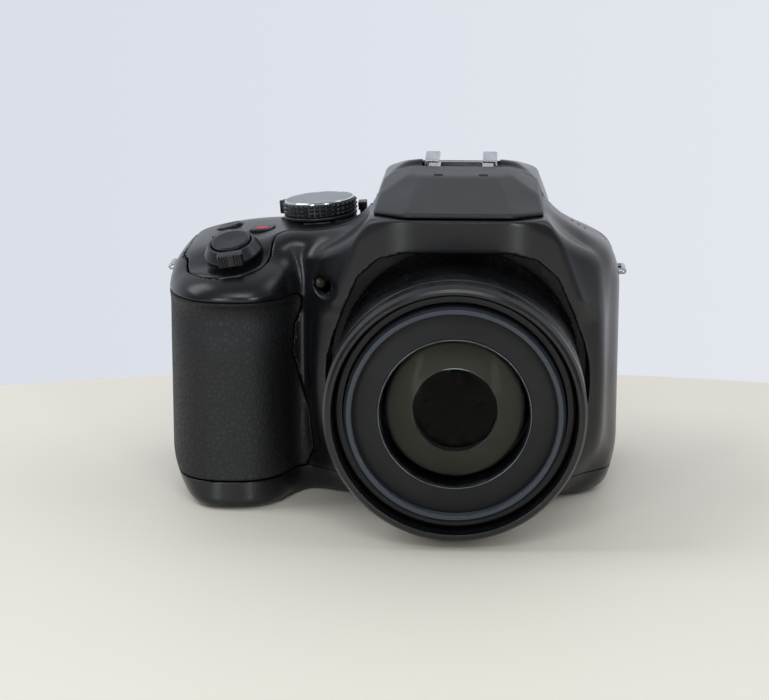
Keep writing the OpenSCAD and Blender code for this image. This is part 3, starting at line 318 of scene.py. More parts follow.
def rear_fall(y, z):
    s, c = tip(rear_lean)
    return s * (y - 5) + c * (z - deck_h - 0.3)


def low_corner(x, z):
    return 0.707 * (np.maximum(x - right_x, left_x + 1 - x) - z) + 4.6


def slab(x, y, z):
    corner = np.where(y > 0, 5.0, 12.0)
    plan = smax(smax(x - right_x, left_x + 5 - x, 1), smax(front_y - y, y - back_y, 1), corner)
    shoulder = smax(0.447 * (x - right_x + 12) + 0.894 * (z - deck_h - 1.3),
                    0.748 * (x - right_x + 5.9) + 0.664 * (z - deck_h + 1.6), 4)
    top = smax(smax(smax(deck(x, y, z), left_fall(x, z), 4), shoulder, 4), rear_fall(y, z), 6)
    return smax(smax(smax(plan, top, 5), low_corner(x, z), 7), -z, 8)


grip_a, grip_y = 18.3, -14.5
grip_x = left_x + grip_a + 1.1
shutter_foot, shutter_n = np.array([left_x + 20.2, -28.7, deck_h - 5.45]), np.array([-0.154, -0.293, 0.9436])


def oval(x, y, a, b):
    return ((np.abs(x) / a) ** 2.5 + (np.abs(y) / b) ** 2.5) ** 0.4 * a - a


def grip(x, y, z):
    rest = 2.4 * np.exp(-((z - 53.5) / 5) ** 2)
    foot = 2.6 * np.maximum(1 - z / 40, 0) ** 2
    plan = oval(x - grip_x, y - grip_y, grip_a, grip_y - nose_y - rest + foot)
    return smax(smax(smax(plan, z - 66, 8), low_corner(x, z), 6), -z, 3)


def head(x, y, z):
    plan = oval(x - grip_x - 0.6, y - grip_y, grip_a, grip_y - nose_y + 3.6)
    lean = sum((c - f) * n for c, f, n in zip((x, y, z), shutter_foot, shutter_n))
    top = smax(smax(lean, deck(x, y, z), 6), left_fall(x, z), 4)
    return smax(smax(plan, smax(top, rear_fall(y, z), 6), 12), 58.5 - z, 3)


def bow(a, y):
    s, c = tip(22)
    return s * (a - 15.5) - c * (y - fascia_y)


def housing(x, y, z):
    a, up = np.abs(x), z - axis_h
    wide = np.where(up > 0, a - 39.5 + 0.18 * up, np.hypot(a, up) - 39.5)
    s, c = tip(35)
    side = c * wide - s * (y - fascia_y - 6)
    top = smax(z - flash_seam - 0.6, 0.487 * (a - 24.5) + 0.873 * (z - deck_h - 4.5), 3)
    face = smax(smax(smax(fascia_y - y, bow(a, y), 2), side, 4), a - right_x + 4, 3)
    return smax(smax(smax(face, top, 3), y - front_y - 9, 2), -z, 5)


def facet(x, z):
    return 0.465 * (np.abs(x) - 14.3) + 0.885 * (z - hump_h)


def hump(x, y, z):
    a = np.abs(x)
    side = smax(0.934 * (a - 25.3) + 0.356 * (z - hump_h + 12.5), facet(x, z), 1.5)
    front = 0.33 * (fascia_y + 1.2 - y) + 0.944 * (z - flash_seam)
    cheek = 0.227 * (a - 14.5) + 0.281 * (fascia_y + 1.2 - y) + 0.932 * (z - flash_seam)
    crown = z - hump_h + 0.0008 * a * a
    roof = smax(smax(smax(front, cheek, 1), crown, 3), 0.138 * (y + 4) + 0.990 * crown, 3)
    face = smax(fascia_y - y, bow(a, y), 2)
    return smax(smax(smax(side, roof, 1.5), face, 1.5), np.maximum(60 - z, y - back_y + 1), 3)


def finder(x, y, z):
    a = np.abs(x)
    roof = smax(0.243 * (y - 19) + 0.970 * (z - hump_h + 3.2), facet(x, z) - 0.2, 2)
    under = 0.62 * (y - 37) - 0.785 * (z - 66)
    return smax(smax(smax(a - 19.5 + 0.12 * (z - 75), y - 37, 4), smax(roof, under, 2), 3), 4 - y, 2)


def form(x, y, z):
    casing = smin(smin(slab(x, y, z), smin(grip(x, y, z), head(x, y, z), 2.5), 7), housing(x, y, z), 6)
    return np.maximum(-z, smin(smin(casing, hump(x, y, z), 7), finder(x, y, z), 4))


print("form at the ring centre:", round(float(form(*np.array([0.0, -30.0, 37.0]))), 2), "mm")

# %% [markdown]
# A surface net turns such a rule into faces: a point in each grid cell that the skin crosses, and a face
# across each grid edge that it cuts. Every point is then drawn onto the skin along the steepest way, and
# takes its shading normal from the rule itself, so that highlights run as smoothly as on the real moulding.

# %% Nets over a rule
def plain_mesh(name, points, faces, normals=None):
    """A mesh from points in millimetres and faces of equal length."""
    mesh = bpy.data.meshes.new(name)
    size = faces.shape[1]
    mesh.vertices.add(len(points))
    mesh.vertices.foreach_set("co", (points * MM).astype(np.float32).ravel())
    mesh.loops.add(faces.size)
    mesh.loops.foreach_set("vertex_index", faces.astype(np.int32).ravel())
    mesh.polygons.add(len(faces))
    mesh.polygons.foreach_set("loop_start", np.arange(0, faces.size, size, dtype=np.int32))
    mesh.update(calc_edges=True)
    mesh.polygons.foreach_set("use_smooth", np.ones(len(faces), bool))
    if normals is not None:
        mesh.normals_split_custom_set_from_vertices(normals.tolist())
    return mesh


def slope(rule, p, h=0.04):
    """The gradient of a rule at points."""
    grad = np.empty_like(p)
    for i in range(3):
        step = np.zeros(3)
        step[i] = h
        grad[:, i] = (rule(*(p + step).T) - rule(*(p - step).T)) / (2 * h)
    return grad


def net(rule, low, high, cell):
    """Points, quads and normals of the skin of a rule inside a box."""
    low = np.array(low, float)
    count = np.ceil((np.array(high) - low) / cell).astype(int) + 1
    axes = [low[i] + cell * np.arange(count[i]) for i in range(3)]
    value = rule(*np.meshgrid(*axes, indexing="ij"))
    inside = value < 0
    corners = [(i, j, k) for i in (0, 1) for j in (0, 1) for k in (0, 1)]
    shift = [inside[i:count[0] - 1 + i, j:count[1] - 1 + j, k:count[2] - 1 + k] for i, j, k in corners]
    filled = sum(s.astype(np.int8) for s in shift)
    mixed = (filled > 0) & (filled < 8)
    at = np.argwhere(mixed)
    total, hits = np.zeros((len(at), 3)), np.zeros(len(at))
    for a in corners:
        for axis in range(3):
            if a[axis]:
                continue
            b = tuple(1 if i == axis else a[i] for i in range(3))
            va, vb = (value[tuple((at + c).T)] for c in (a, b))
            cut = (va < 0) != (vb < 0)
            share = np.where(cut, va / np.where(cut, va - vb, 1), 0)
            spot = np.array(a, float) + np.outer(share, np.subtract(b, a))
            total += spot * cut[:, None]
            hits += cut
    points = low + cell * (at + total / hits[:, None])
    for step in range(3):
        grad = slope(rule, points)
        move = grad * (rule(*points.T) / np.maximum((grad ** 2).sum(1), 0.05))[:, None]
        size = np.linalg.norm(move, axis=1, keepdims=True)
        points = points - move * np.minimum(1, 0.4 * cell / np.maximum(size, 1e-9))
    ids = np.full(mixed.shape, -1)
    ids[mixed] = np.arange(len(at))
    quads = []
    for axis in range(3):
        order = (axis, (axis + 1) % 3, (axis + 2) % 3)
        solid, cells = inside.transpose(order), ids.transpose(order)
        i, j, k = np.nonzero((solid[:-1] != solid[1:])[:, 1:-1, 1:-1])
        j, k = j + 1, k + 1
        quad = np.stack([cells[i, j - 1, k - 1], cells[i, j, k - 1], cells[i, j, k], cells[i, j - 1, k]], 1)
        out = solid[i, j, k]
        quads.append(np.where(out[:, None], quad, quad[:, ::-1]))
    normals = slope(rule, points)
    normals /= np.maximum(np.linalg.norm(normals, axis=1, keepdims=True), 1e-9)
    return points, np.concatenate(quads), normals


def put(name, data):
    """A new object in the scene."""
    thing = bpy.data.objects.new(name, data)
    bpy.context.scene.collection.objects.link(thing)
    return thing


def trim(name, mesh, node, look=None, slot=None):
    """A detail that rides on the body of a solid and stands for none."""
    slot = slot or slot_of_node[node]
    piece = put(name, mesh)
    mesh.materials.clear()
    mesh.materials.append(finish[look or slot])
    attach(piece, body_of_node[node])
    return piece


def settle(name, mesh, node, look=None):
    """A piece that rides on the body of a solid and stands for it."""
    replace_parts(trim(name, mesh, node, look), node)


def moulding(name, node, rule, low, high, cell=0.7):
    """Nets a rule inside a box and lets the skin stand for a solid."""
    points, quads, normals = net(rule, low, high, cell)
    settle(name, plain_mesh(name, points, quads, normals), node)
    print(name + ":", len(quads) * 2, "triangles")


# %% [markdown]
# The seams that share the form between the covers are rules as well: distances to a plane, a rounded box or
# an outline. Where two rules meet, a small rounding leaves the soft edge that every moulding has, and that
# edge is what makes a seam read as a seam.

# %% Rules for seams and holes
def frame_of(at, rx=0.0, ry=0.0, rz=0.0):
    """A place and its three directions, turned about X, then Y, then Z."""
    turn = Matrix.Rotation(math.radians(rz), 3, "Z") @ Matrix.Rotation(math.radians(ry), 3, "Y")
    return np.array(at, float), np.array(turn @ Matrix.Rotation(math.radians(rx), 3, "X"))


def local(place, x, y, z):
    """Coordinates seen from a place."""
    at, turn = place
    return [(x - at[0]) * turn[0, i] + (y - at[1]) * turn[1, i] + (z - at[2]) * turn[2, i] for i in range(3)]


def plate(u, v, w, h, r):
    """A flat rectangle with round corners."""
    p, q = np.abs(u) - w / 2 + r, np.abs(v) - h / 2 + r
    return np.hypot(np.maximum(p, 0), np.maximum(q, 0)) + np.minimum(np.maximum(p, q), 0) - r


def skin_at(x, y):
    """The height of the skin over a place on the deck."""
    low, high = 55.0, 95.0
    for step in range(40):
        mid = (low + high) / 2
        low, high = (mid, high) if form(np.array(x), np.array(y), np.array(mid)) < 0 else (low, mid)
    return low


def opening_table():
    """The reach of the opening around the barrel at each angle."""
    corners = ((13.5, 35.6, 2.0), (20.3, 33.6, 2.2), (25.4, 28.6, 2.3), (28.2, 24.0, 1.6))
    rounds = [(0, 0, 36.6)] + [(m * x, z, r) for m in (-1, 1) for x, z, r in corners]
    angles = np.radians(np.arange(-180, 180.5, 0.5))
    normals = np.radians(np.arange(0, 360, 1.0))
    support = np.max([x * np.cos(normals) + z * np.sin(normals) + r for x, z, r in rounds], axis=0)
    facing = np.cos(angles[:, None] - normals[None, :])
    reach = np.where(facing > 0.05, support[None, :] / np.maximum(facing, 0.05), 1e9).min(1)
    lean = np.gradient(reach, angles)
    return angles, reach, reach / np.hypot(reach, lean)


open_angle, open_reach, open_cos = opening_table()


def opening(x, z):
    angle, r = np.arctan2(z - axis_h, x), np.hypot(x, z - axis_h)
    return (r - np.interp(angle, open_angle, open_reach)) * np.interp(angle, open_angle, open_cos)


def deck_plan(x, y):
    shelf = plate(x - (left_x + 6 - 24.9) / 2, y + 2.25, -24.9 - left_x - 6, 36.5, 0.5)
    return smin(shelf, np.hypot(x - shutter_foot[0] + 1.5, y - shutter_foot[1] - 2.4) - 11.8, 7)


pivot_y, pivot_z, pivot_r = -5.0, hump_h - 4.2, 4.2
skin_rows = np.array([[8, -43.5], [14, -41], [24, -42], [34, -45], [42, -47], [50, -46.5], [55, -44.5],
                      [59, -44], [61, -47.5], [62, -53]])


def hump_region(x, y, z):
    block = np.maximum(np.maximum(np.abs(x - 0.55) - 25.5, pivot_y + 2.8 - y), 72 - z)
    return np.maximum(block, pivot_r + 0.3 - np.hypot(y - pivot_y, z - pivot_z))


def skin_region(x, y, z):
    return np.maximum(smax(x - np.interp(z, *skin_rows.T), z - 59.2, 3), y + 2.3)


lug_y, lug_z, lamp_x, lamp_z = -6.0, 62.5, -38.6, 62.8


def lug_pockets(x, y, z):
    cuts = plate(y - lug_y, z - lug_z, 12.4, 5.4, 1.5)
    return np.maximum(cuts, np.minimum(right_x - 1.4 - x, x - left_x - 2.6))


print("opening reaches", round(open_reach.min(), 1), "to", round(open_reach.max(), 1), "mm from the lens axis")


# %% [markdown]
# The front cover is the hardest piece: it runs from the grip over the bow of the lens housing to the far
# shoulder. It is the skin of the form, hollowed by its wall, cut at the parting plane, the base, the deck,
# the hump, the flash lid and the grip skin, with a deep round opening for the barrel.

# %% Front cover
def front_cover(x, y, z):
    f, w = form(x, y, z), -y
    mouth, r = opening(x, z), np.hypot(x, z - axis_h)
    hollow = np.maximum(f + wall, -np.maximum(mouth - 1.6, 19 - w))
    d = smax(f, -hollow, 0.4)
    d = smax(smax(d, y - parting_y + seam / 2, 0.4), base_h + 0.04 - z, 0.1)
    d = smax(d, -np.maximum(mouth, mouth_w - w), 0.9)
    d = smax(d, 33.7 - r, 0.4)
    d = smax(d, -np.maximum(deck_plan(x, y) - seam, deck_floor - z), 0.5)
    d = smax(d, -(hump_region(x, y, z) - seam), 0.5)
    d = smax(d, -np.maximum(np.maximum(flash_seam - seam - z, y - 0.2), np.abs(x) - 30), 0.5)
    d = smax(d, pivot_r + 0.3 - np.hypot(y - pivot_y, z - pivot_z), 0.3)
    d = smax(d, -np.maximum(skin_region(x, y, z) - seam, -(f + skin_t + 0.15)), 0.4)
    lamp = np.hypot(x - lamp_x, z - lamp_z)
    cone = np.maximum(1.9 + (4 - 1.9) / 6 * (w + front_y - 6.5), 1.9)
    d = smax(d, -np.maximum(lamp - cone, 25 - w), 0.6)
    return smax(d, -lug_pockets(x, y, z), 0.4)


moulding("casing_front", "front_cover", front_cover, (left_x - 1, -48, 7), (right_x + 1, 2, 87))

# %% [markdown]
# The rear cover closes the body from the parting plane to the monitor. Its holes follow the keys with the
# same gap as the solids, so every key can sink in.

# %% Rear cover
slope_y = 20.4
slope_z = deck_h + 0.3 - math.tan(math.radians(rear_lean)) * (slope_y - 5)
slope_keys = [frame_of((x, slope_y, slope_z), rx=-rear_lean) for x in (37.0, -38.5)]
pad_x, pad_z, pad_r = left_x + 27, 30.0, 11.4
back_keys = [(left_x + 44, 51, 3.0), (left_x + 42, 14, 3.0), (left_x + 14, 14, 3.0),
             (pad_x, pad_z, pad_r + 0.2)]
monitor_x, monitor_z = right_x - 5 - 36, 35.0
wheel_x, wheel_y, wheel_z, wheel_r, wheel_h = left_x + 25, back_y + 1.3 - 11.5, 56.5, 11.5, 4.4
socket = frame_of((left_x + 4, 10.5, 42), rz=-10.5)
finder_z = 76.0


def finder_holes(d, x, y, z):
    d = smax(d, -np.maximum(plate(x, z - finder_z, 21, 15, 3), 20 - y), 0.4)
    return smax(d, -np.maximum(np.hypot(y - 29, z - finder_z) - 5.4, 15.3 - x), 0.4)


def rear_cover(x, y, z):
    f = form(x, y, z)
    d = smax(f, -(f + wall), 0.4)
    d = smax(smax(d, parting_y + seam / 2 - y, 0.4), base_h + 0.04 - z, 0.1)
    d = smax(d, -np.maximum(deck_plan(x, y) - seam, deck_floor - z), 0.5)
    d = smax(d, -(hump_region(x, y, z) - seam), 0.5)
    d = smax(d, -np.maximum(plate(x - monitor_x, z - monitor_z, 72.4, 47.4, 2.5), 16 - y), 0.4)
    for kx, kz, kr in back_keys:
        d = smax(d, -np.maximum(np.hypot(x - kx, z - kz) - kr - key_gap, back_y - key_depth - y), 0.5)
    for place in slope_keys:
        u, v, w = local(place, x, y, z)
        d = smax(d, -np.maximum(np.hypot(u, v) - 3.25, -key_depth - w), 0.5)
    wheel = np.hypot(x - wheel_x, y - wheel_y) - wheel_r - 0.4
    wheel = np.maximum(wheel, np.abs(z - wheel_z) - wheel_h / 2 - key_gap)
    d = smax(d, -wheel, 0.6)
    u, v, w = local(socket, x, y, z)
    d = smax(d, -np.maximum(plate(v, w, 11.4, 20.4, 1.0), np.abs(u - 2) - 4), 0.3)
    return finder_holes(d, x, y, z)


moulding("casing_rear", "rear_cover", rear_cover, (left_x - 1, 0, 7), (right_x + 1, 39, 93))

# %% [markdown]
# The top cover carries what the right hand works: the dial on a round pedestal, the shutter button on the
# head of the grip and the keys beside it. Each hole is cut in the place of its own key, which leans as the
# deck does there, so no key stands askew in its hole.

# %% Top cover
dial = frame_of((-40.4, -3.9, deck_z(-40.4)), ry=-deck_lean)
dial = (dial[0] + 0.8 * dial[1][:, 2], dial[1])
shutter = frame_of(shutter_foot + 1.05 * shutter_n, rx=17.04, ry=-9.27)
burst = frame_of((left_x + 16.2, -3.6, skin_at(left_x + 16.2, -3.6)), rx=head_lean, ry=-side_lean)
function = frame_of((left_x + 15.5, -13.4, skin_at(left_x + 15.5, -13.4)), rx=head_lean, ry=-side_lean)
record = frame_of((left_x + 26.7, -13.5, skin_at(left_x + 26.7, -13.5)), rx=head_lean, ry=-deck_lean)
lever = frame_of((-28.8, 8.4, skin_at(-28.8, 8.4)), ry=-deck_lean)
shoe_floor = hump_h - 2.5


def top_cover(x, y, z):
    f = form(x, y, z)
    deck_part = np.maximum(deck_plan(x, y), deck_floor - z)
    d = smax(f, np.minimum(deck_part, hump_region(x, y, z)), 0.5)
    u, v, w = local(dial, x, y, z)
    d = np.minimum(d, smax(np.hypot(u, v) - 10.4, np.abs(w + 4) - 4, 0.4))
    d = smax(d, -np.maximum(f + wall, 60 - z), 0.4)
    d = smax(d, 3.4 - np.hypot(u, v), 0.4)
    d = smax(d, -np.maximum(plate(x, y - 7.3, 22.4, 17.0, 0.8), shoe_floor - 0.05 - z), 0.4)
    u, v, w = local(shutter, x, y, z)
    d = smax(d, 4.8 - np.hypot(u, v), 0.4)
    for place, length in ((burst, 7.7), (record, 7.7)):
        u, v, w = local(place, x, y, z)
        d = smax(d, -np.maximum(plate(u, v, length, 5.1, 2.55), -key_depth - w), 0.5)
    u, v, w = local(function, x, y, z)
    d = smax(d, -np.maximum(np.hypot(u, v) - 3.25, -key_depth - w), 0.5)
    u, v, w = local(lever, x, y, z)
    d = smax(d, -np.maximum(plate(u, v, 2.3, 8, 0.4), np.abs(w) - key_depth), 0.4)
    return finder_holes(d, x, y, z)


moulding("casing_top", "top_cover", top_cover, (left_x + 3, -40, 61), (28, 39, 94))

# %% [markdown]
# The base cover is a shallow tray with the tripod socket, the opening for the battery door and the holes for
# its hinge pins. It is cut from the same form as the rest, so its rim meets them in one thin line.

# %% Base cover
door_x0, door_y0, door_w, door_l = left_x + 12.6, -25.5, 24.0, 36.0


def base_cover(x, y, z):
    f = form(x, y, z)
    ring = np.hypot(x, y)
    d = smax(f, -np.maximum(f + wall, 8.6 - ring), 0.4)
    d = smax(d, z - base_h + 0.04, 0.1)
    d = smax(d, -np.maximum(opening(x, z), mouth_w + y), 0.9)
    d = smax(d, -np.minimum(ring - 6.15, np.maximum(ring - 8.15, z - 1.6)), 0.3)
    door = plate(x - door_x0 - door_w / 2, y - door_y0 - door_l / 2, door_w + 0.4, door_l + 0.4, 0.4)
    pins = np.hypot(x - door_x0 - door_w + 1.6, z - 1.6) - 0.9
    pins = np.maximum(pins, np.abs(y - door_y0 - door_l / 2) - 19.6)
    return smax(smax(d, -door, 0.4), -pins, 0.2)


moulding("casing_base", "base_cover", base_cover, (left_x - 1, -49, -1.2), (right_x + 1, 30, 9))

# %% [markdown]
# The grip skin is a thin sheet of rubber that is glued into a step of the front cover. It is the outer skin
# of the form, taken inwards by its own thickness, so it lies flush with the casing around it.

# %% Grip skin
def grip_skin(x, y, z):
    f = form(x, y, z)
    d = smax(f, -(f + skin_t), 0.3)
    d = smax(d, skin_region(x, y, z), 0.5)
    return smax(d, base_h + seam - z, 0.5)


moulding("grip_rubber", "grip_skin", grip_skin, (left_x - 1, -48, 7), (-38, -1, 61), 0.6)

# %% [markdown]
# Lathed and pressed pieces are rings of points joined into a skin. A profile is drawn as a plain polygon and
# its corners are then rounded, because no real edge is perfectly sharp: the thin line of light along an edge
# tells the eye how large the piece is. The normals of the rounding are exact, so a few faces are enough.

# %% Rings, lathes and keys
def rounded(outline, radius, steps=4):
    """Points and outward normals of a closed outline with rounded corners."""
    points = np.array(outline, float)
    x, y = points.T
    if (x * np.roll(y, -1) - np.roll(x, -1) * y).sum() < 0:
        points = points[::-1]
    spots, facing = [], []
    for i, corner in enumerate(points):
        before, after = corner - points[i - 1], points[(i + 1) % len(points)] - corner
        room = 0.45 * min(np.linalg.norm(before), np.linalg.norm(after))
        a, b = math.atan2(*before[::-1]), math.atan2(*after[::-1])
        bend = (b - a + math.pi) % (2 * math.pi) - math.pi
        half = abs(math.tan(bend / 2))
        cut = min(radius * half, room)
        reach = math.copysign(cut / max(half, 1e-6), bend)
        start = corner - before / np.linalg.norm(before) * cut
        middle = start + reach * np.array([-math.sin(a), math.cos(a)])
        for t in np.linspace(a, a + bend, steps + 1):
            normal = np.array([math.sin(t), -math.cos(t)])
            spots.append(middle + reach * normal)
            facing.append(normal)
    return np.array(spots), np.array(facing)


def loft(name, rings, normals, closed):
    """A skin over rings of points in millimetres; an open one is closed with a flat end on each side."""
    count, size = rings.shape[:2]
    nxt = np.roll(np.arange(size), -1)
    faces = []
    for k in range(count if closed else count - 1):
        a, b = k * size, (k + 1) % count * size
        faces += np.stack([a + np.arange(size), a + nxt, b + nxt, b + np.arange(size)], 1).tolist()
    if not closed:
        faces += [list(range(size))[::-1], list(range((count - 1) * size, count * size))]
    mesh = bpy.data.meshes.new(name)
    mesh.from_pydata((rings.reshape(-1, 3) * MM).tolist(), [], faces)
    mesh.polygons.foreach_set("use_smooth", np.ones(len(faces), bool))
    mesh.normals_split_custom_set_from_vertices(normals.reshape(-1, 3).tolist())
    return mesh


def lathe(name, place, points, normals, segments):
    """Turns a closed profile of distances from the axis and heights along it."""
    at, turn = place
    angle = np.arange(segments) * 2 * math.pi / segments
    round_x, round_y = np.cos(angle), np.sin(angle)
    bring = [np.stack([p[:, :1] * round_x, p[:, :1] * round_y, np.repeat(p[:, 1:], segments, 1)], 2) @ turn.T
             for p in (points, normals)]
    return loft(name, bring[0] + at, bring[1], True)


def key_cap(name, place, w, h, r, low, high, edge, dish=0.0):
    """A pressed key: a round-cornered outline with a rounded upper edge and a dished top."""
    at, turn = place
    count, steps = 96, 4
    angle = (np.arange(count) + 0.5) * 2 * math.pi / count
    out = np.stack([np.cos(angle), np.sin(angle)], 1)
    middle = np.sign(out) * [w / 2 - r, h / 2 - r]
    levels = [(0, low, 0)] + [(edge * (1 - math.cos(t)), high - edge + edge * math.sin(t), t)
                              for t in np.linspace(0, math.pi / 2, steps + 1)]
    rings = [np.column_stack([middle + out * (r - inset), np.full(count, z)]) for inset, z, t in levels]
    normals = [np.column_stack([out * math.cos(t), np.full(count, math.sin(t))]) for inset, z, t in levels]
    brim = rings[-1][:, :2]
    for scale in (0.6, 0.2):
        rings.append(np.column_stack([brim * scale, np.full(count, high - dish * (1 - scale * scale))]))
        normals.append(np.tile([0.0, 0.0, 1.0], (count, 1)))
    return loft(name, np.array(rings) @ turn.T + at, np.array(normals) @ turn.T, False)


# %% [markdown]
# Small pressed and moulded solids need no new shape, only softer edges. A copy of the solid loses its seams
# between triangles, a Bevel modifier rounds every edge sharper than 32 degrees, and the result is kept.

# %% Softened, turned and pressed pieces
def plain_copy(host, name):
    """The evaluated mesh of an object with modifiers, and the object removed."""
    bpy.context.view_layer.update()
    mesh = bpy.data.meshes.new_from_object(host.evaluated_get(bpy.context.evaluated_depsgraph_get()))
    mesh.name = name
    bpy.data.objects.remove(host)
    return mesh


def softened(node, width, steps):
    """A copy of a solid with its edges rounded by a Bevel modifier."""
    mesh = nodes[node].data.copy()
    mesh.transform(nodes[node].matrix_world)
    mesh.materials.clear()
    shape = bmesh.new()
    shape.from_mesh(mesh)
    bmesh.ops.remove_doubles(shape, verts=shape.verts, dist=0.002 * MM)
    bmesh.ops.dissolve_limit(shape, angle_limit=math.radians(1), verts=shape.verts, edges=shape.edges)
    for face in shape.faces:
        face.smooth = True
    shape.to_mesh(mesh)
    shape.free()
    host = put(node + "_host", mesh)
    bevel = host.modifiers.new("edges", "BEVEL")
    bevel.width, bevel.segments, bevel.limit_method = width * MM, steps, "ANGLE"
    bevel.angle_limit, bevel.harden_normals = math.radians(32), True
    return plain_copy(host, node + "_soft")


def turned(name, node, place, outline, edge, segments, look=None):
    """A lathed piece that stands for a solid."""
    mesh = lathe(name, place, *rounded(outline, edge), segments)
    settle(name, mesh, node, look)


def turned_trim(name, node, place, outline, edge, segments, look, slot):
    """A lathed detail on the body of a solid."""
    trim(name, lathe(name, place, *rounded(outline, edge), segments), node, look, slot)


def pressed(name, node, *measures):
    """A key that stands for a solid."""
    settle(name, key_cap(name, *measures), node)


softer = (
    ("power_ring", "power_lever", 0.25, 2), ("flash_slider", "flash_lever", 0.3, 2),
    ("shoe_rails", "hot_shoe", 0.45, 3), ("shoe_plate", "shoe_contacts", 0.04, 2),
    ("lugs", "strap_lugs", 0.1, 2), ("lug_seats", "lug_plates", 0.2, 2),
    ("eye_rubber", "eyecup", 0.9, 3), ("door", "battery_door", 0.25, 2),
    ("latch", "door_latch", 0.1, 2), ("flap", "socket_door", 0.3, 2),
    ("key_up", "up_key", 0.35, 2), ("key_down", "down_key", 0.35, 2),
    ("key_left", "left_key", 0.35, 2), ("key_right", "right_key", 0.35, 2))
for name, node, width, steps in softer:
    settle(name, softened(node, width, steps), node)
print("softened: levers, shoe, lugs, eyecup, doors and cursor keys")

# %% [markdown]
# The lens barrels are tubes that slide in one another. Each is one profile turned about the lens axis: the
# fixed ring with two bands and a groove, the middle tube, and the front tube with its bright rim and the
# filter thread. The measures repeat those of the solids, so the running gaps stay the same. Only the plate
# around the glass and its holder stand a millimetre further forward, where the photograph shows them.

# %% Barrels
lens = frame_of((0, 0, axis_h), rx=90)
ring = [(32.35, 20), (33.4, 20), (33.4, 22.1), (34.4, 22.1), (34.4, 62), (35, 62), (35, 68.3), (34.2, 68.3),
        (34.2, 69.6), (35, 69.6), (35, 75.2), (34.3, 76.5), (33.4, 77), (32.7, 77), (32.35, 73.8)]
middle = [(29.75, 22.6), (32, 22.6), (32, 71.8), (31.4, 72.4), (29.75, 72.4)]
front = [(26.4, 24), (29.4, 24), (29.4, 75.7), (28.6, 76.5), (27.45, 76.5), (27.45, 73.9), (27.6, 73.9),
         (27.6, 68.1), (19.9, 68.1), (19.9, 64), (26.4, 64)]
plate_ring = [(20.5, 68.15), (27.5, 68.15), (27.5, 73.3), (20.5, 74.7)]
holder = [(19.75, 68.2), (20.45, 68.2), (20.45, 74.9), (20.25, 75.1), (19.75, 74.2)]
turned("ring_fixed", "fixed_barrel", lens, ring, 0.35, 224)
turned("tube_middle", "middle_barrel", lens, middle, 0.25, 192, "barrel_dark")
turned("tube_front", "front_barrel", lens, front, 0.22, 192)
turned("plate_around_glass", "name_ring", lens, plate_ring, 0.1, 160)
turned_trim("glass_holder", "name_ring", lens, holder, 0.15, 160, "holder", "barrel_front")
print("barrels turned")

# %% [markdown]
# The front glass is a shell between two domes that hardly reflects. Behind it stands a black baffle with a
# round mouth, painted brown olive as a painted reflection of the lens coatings, and the smaller glasses deep
# inside only show as near-black steps with a thin bright rim: painted shade for the dark inside of the lens.

# %% Glasses
near_axis = 0.02


def dome(top, radius, reach, count=24):
    """Points and normals of a spherical cap from its rim to just beside the axis."""
    r = np.linspace(reach, near_axis, count)
    rise = np.sqrt(radius * radius - r * r)
    return np.column_stack([r, top - radius + rise]), np.column_stack([r / radius, rise / radius])


def shell(top, radius, reach, thick):
    """The profile between two domes."""
    outer, out = dome(top, radius, reach)
    inner, away = dome(top - thick, radius - thick, reach)
    return np.concatenate([outer, inner[::-1]]), np.concatenate([out, -away[::-1]])


glass_top, glass_bend, glass_r, glass_t = 73.5, 50.5, 19.7, 0.8
glass = lathe("front_glass", lens, *shell(glass_top, glass_bend, glass_r, glass_t), 128)
settle("front_glass", glass, "front_lens")
baffle = [(11.45, 63.5), (18.6, 63.5), (18.6, 68.4), (18.0, 68.9), (11.6, 70.6), (11.45, 70.4)]
pupil = [(near_axis, 63.0), (11.4, 63.0), (11.4, 66.5), (10.9, 66.5), (5.6, 66.2), (5.3, 66.5), (5.1, 66.2),
         (3.1, 66.3), (2.9, 66.6), (2.7, 66.3), (near_axis, 66.9)]
edge = [(11.25, 69.6), (11.5, 69.6), (11.55, 70.55), (11.38, 70.65)]
# The baffle's brown olive is a painted reflection of the coatings, and the pupil's near-black is painted shade.
turned_trim("baffle", "front_lens", lens, baffle, 0.12, 128, "baffle", "inner_black")
turned_trim("pupil", "front_lens", lens, pupil, 0.12, 96, "pupil", "inner_black")
turned_trim("pupil_edge", "front_lens", lens, edge, 0.04, 128, "holder", "barrel_front")
print("front glass over a baffle")

# %% [markdown]
# Whatever repeats is made with Geometry Nodes. One tree sets copies of a small object around an axis in rows,
# for the knurl of a dial or the ribs of a wheel. A second tree sweeps a spiral for a screw thread. The inputs
# are set by the identifier of their socket, and the result is turned into a plain mesh.

# %% Trees for copies and threads
def new_tree(name, inputs):
    """An empty tree with a geometry input and output, and its named inputs."""
    tree = bpy.data.node_groups.new(name, "GeometryNodeTree")
    tree.interface.new_socket("Geometry", in_out="INPUT", socket_type="NodeSocketGeometry")
    for label, kind in inputs.items():
        tree.interface.new_socket(label, in_out="INPUT", socket_type="NodeSocket" + kind)
    tree.interface.new_socket("Geometry", in_out="OUTPUT", socket_type="NodeSocketGeometry")
    return tree, add(tree, "NodeGroupInput").outputs


def close_tree(tree, geometry, given):
    """Makes the copies real and gives them their finish."""
    real = add(tree, "GeometryNodeRealizeInstances", None, {0: geometry})
    dressed = add(tree, "GeometryNodeSetMaterial", None,
                  {"Geometry": real.outputs[0], "Material": given["Finish"]})
    add(tree, "NodeGroupOutput", None, {0: dressed.outputs[0]})


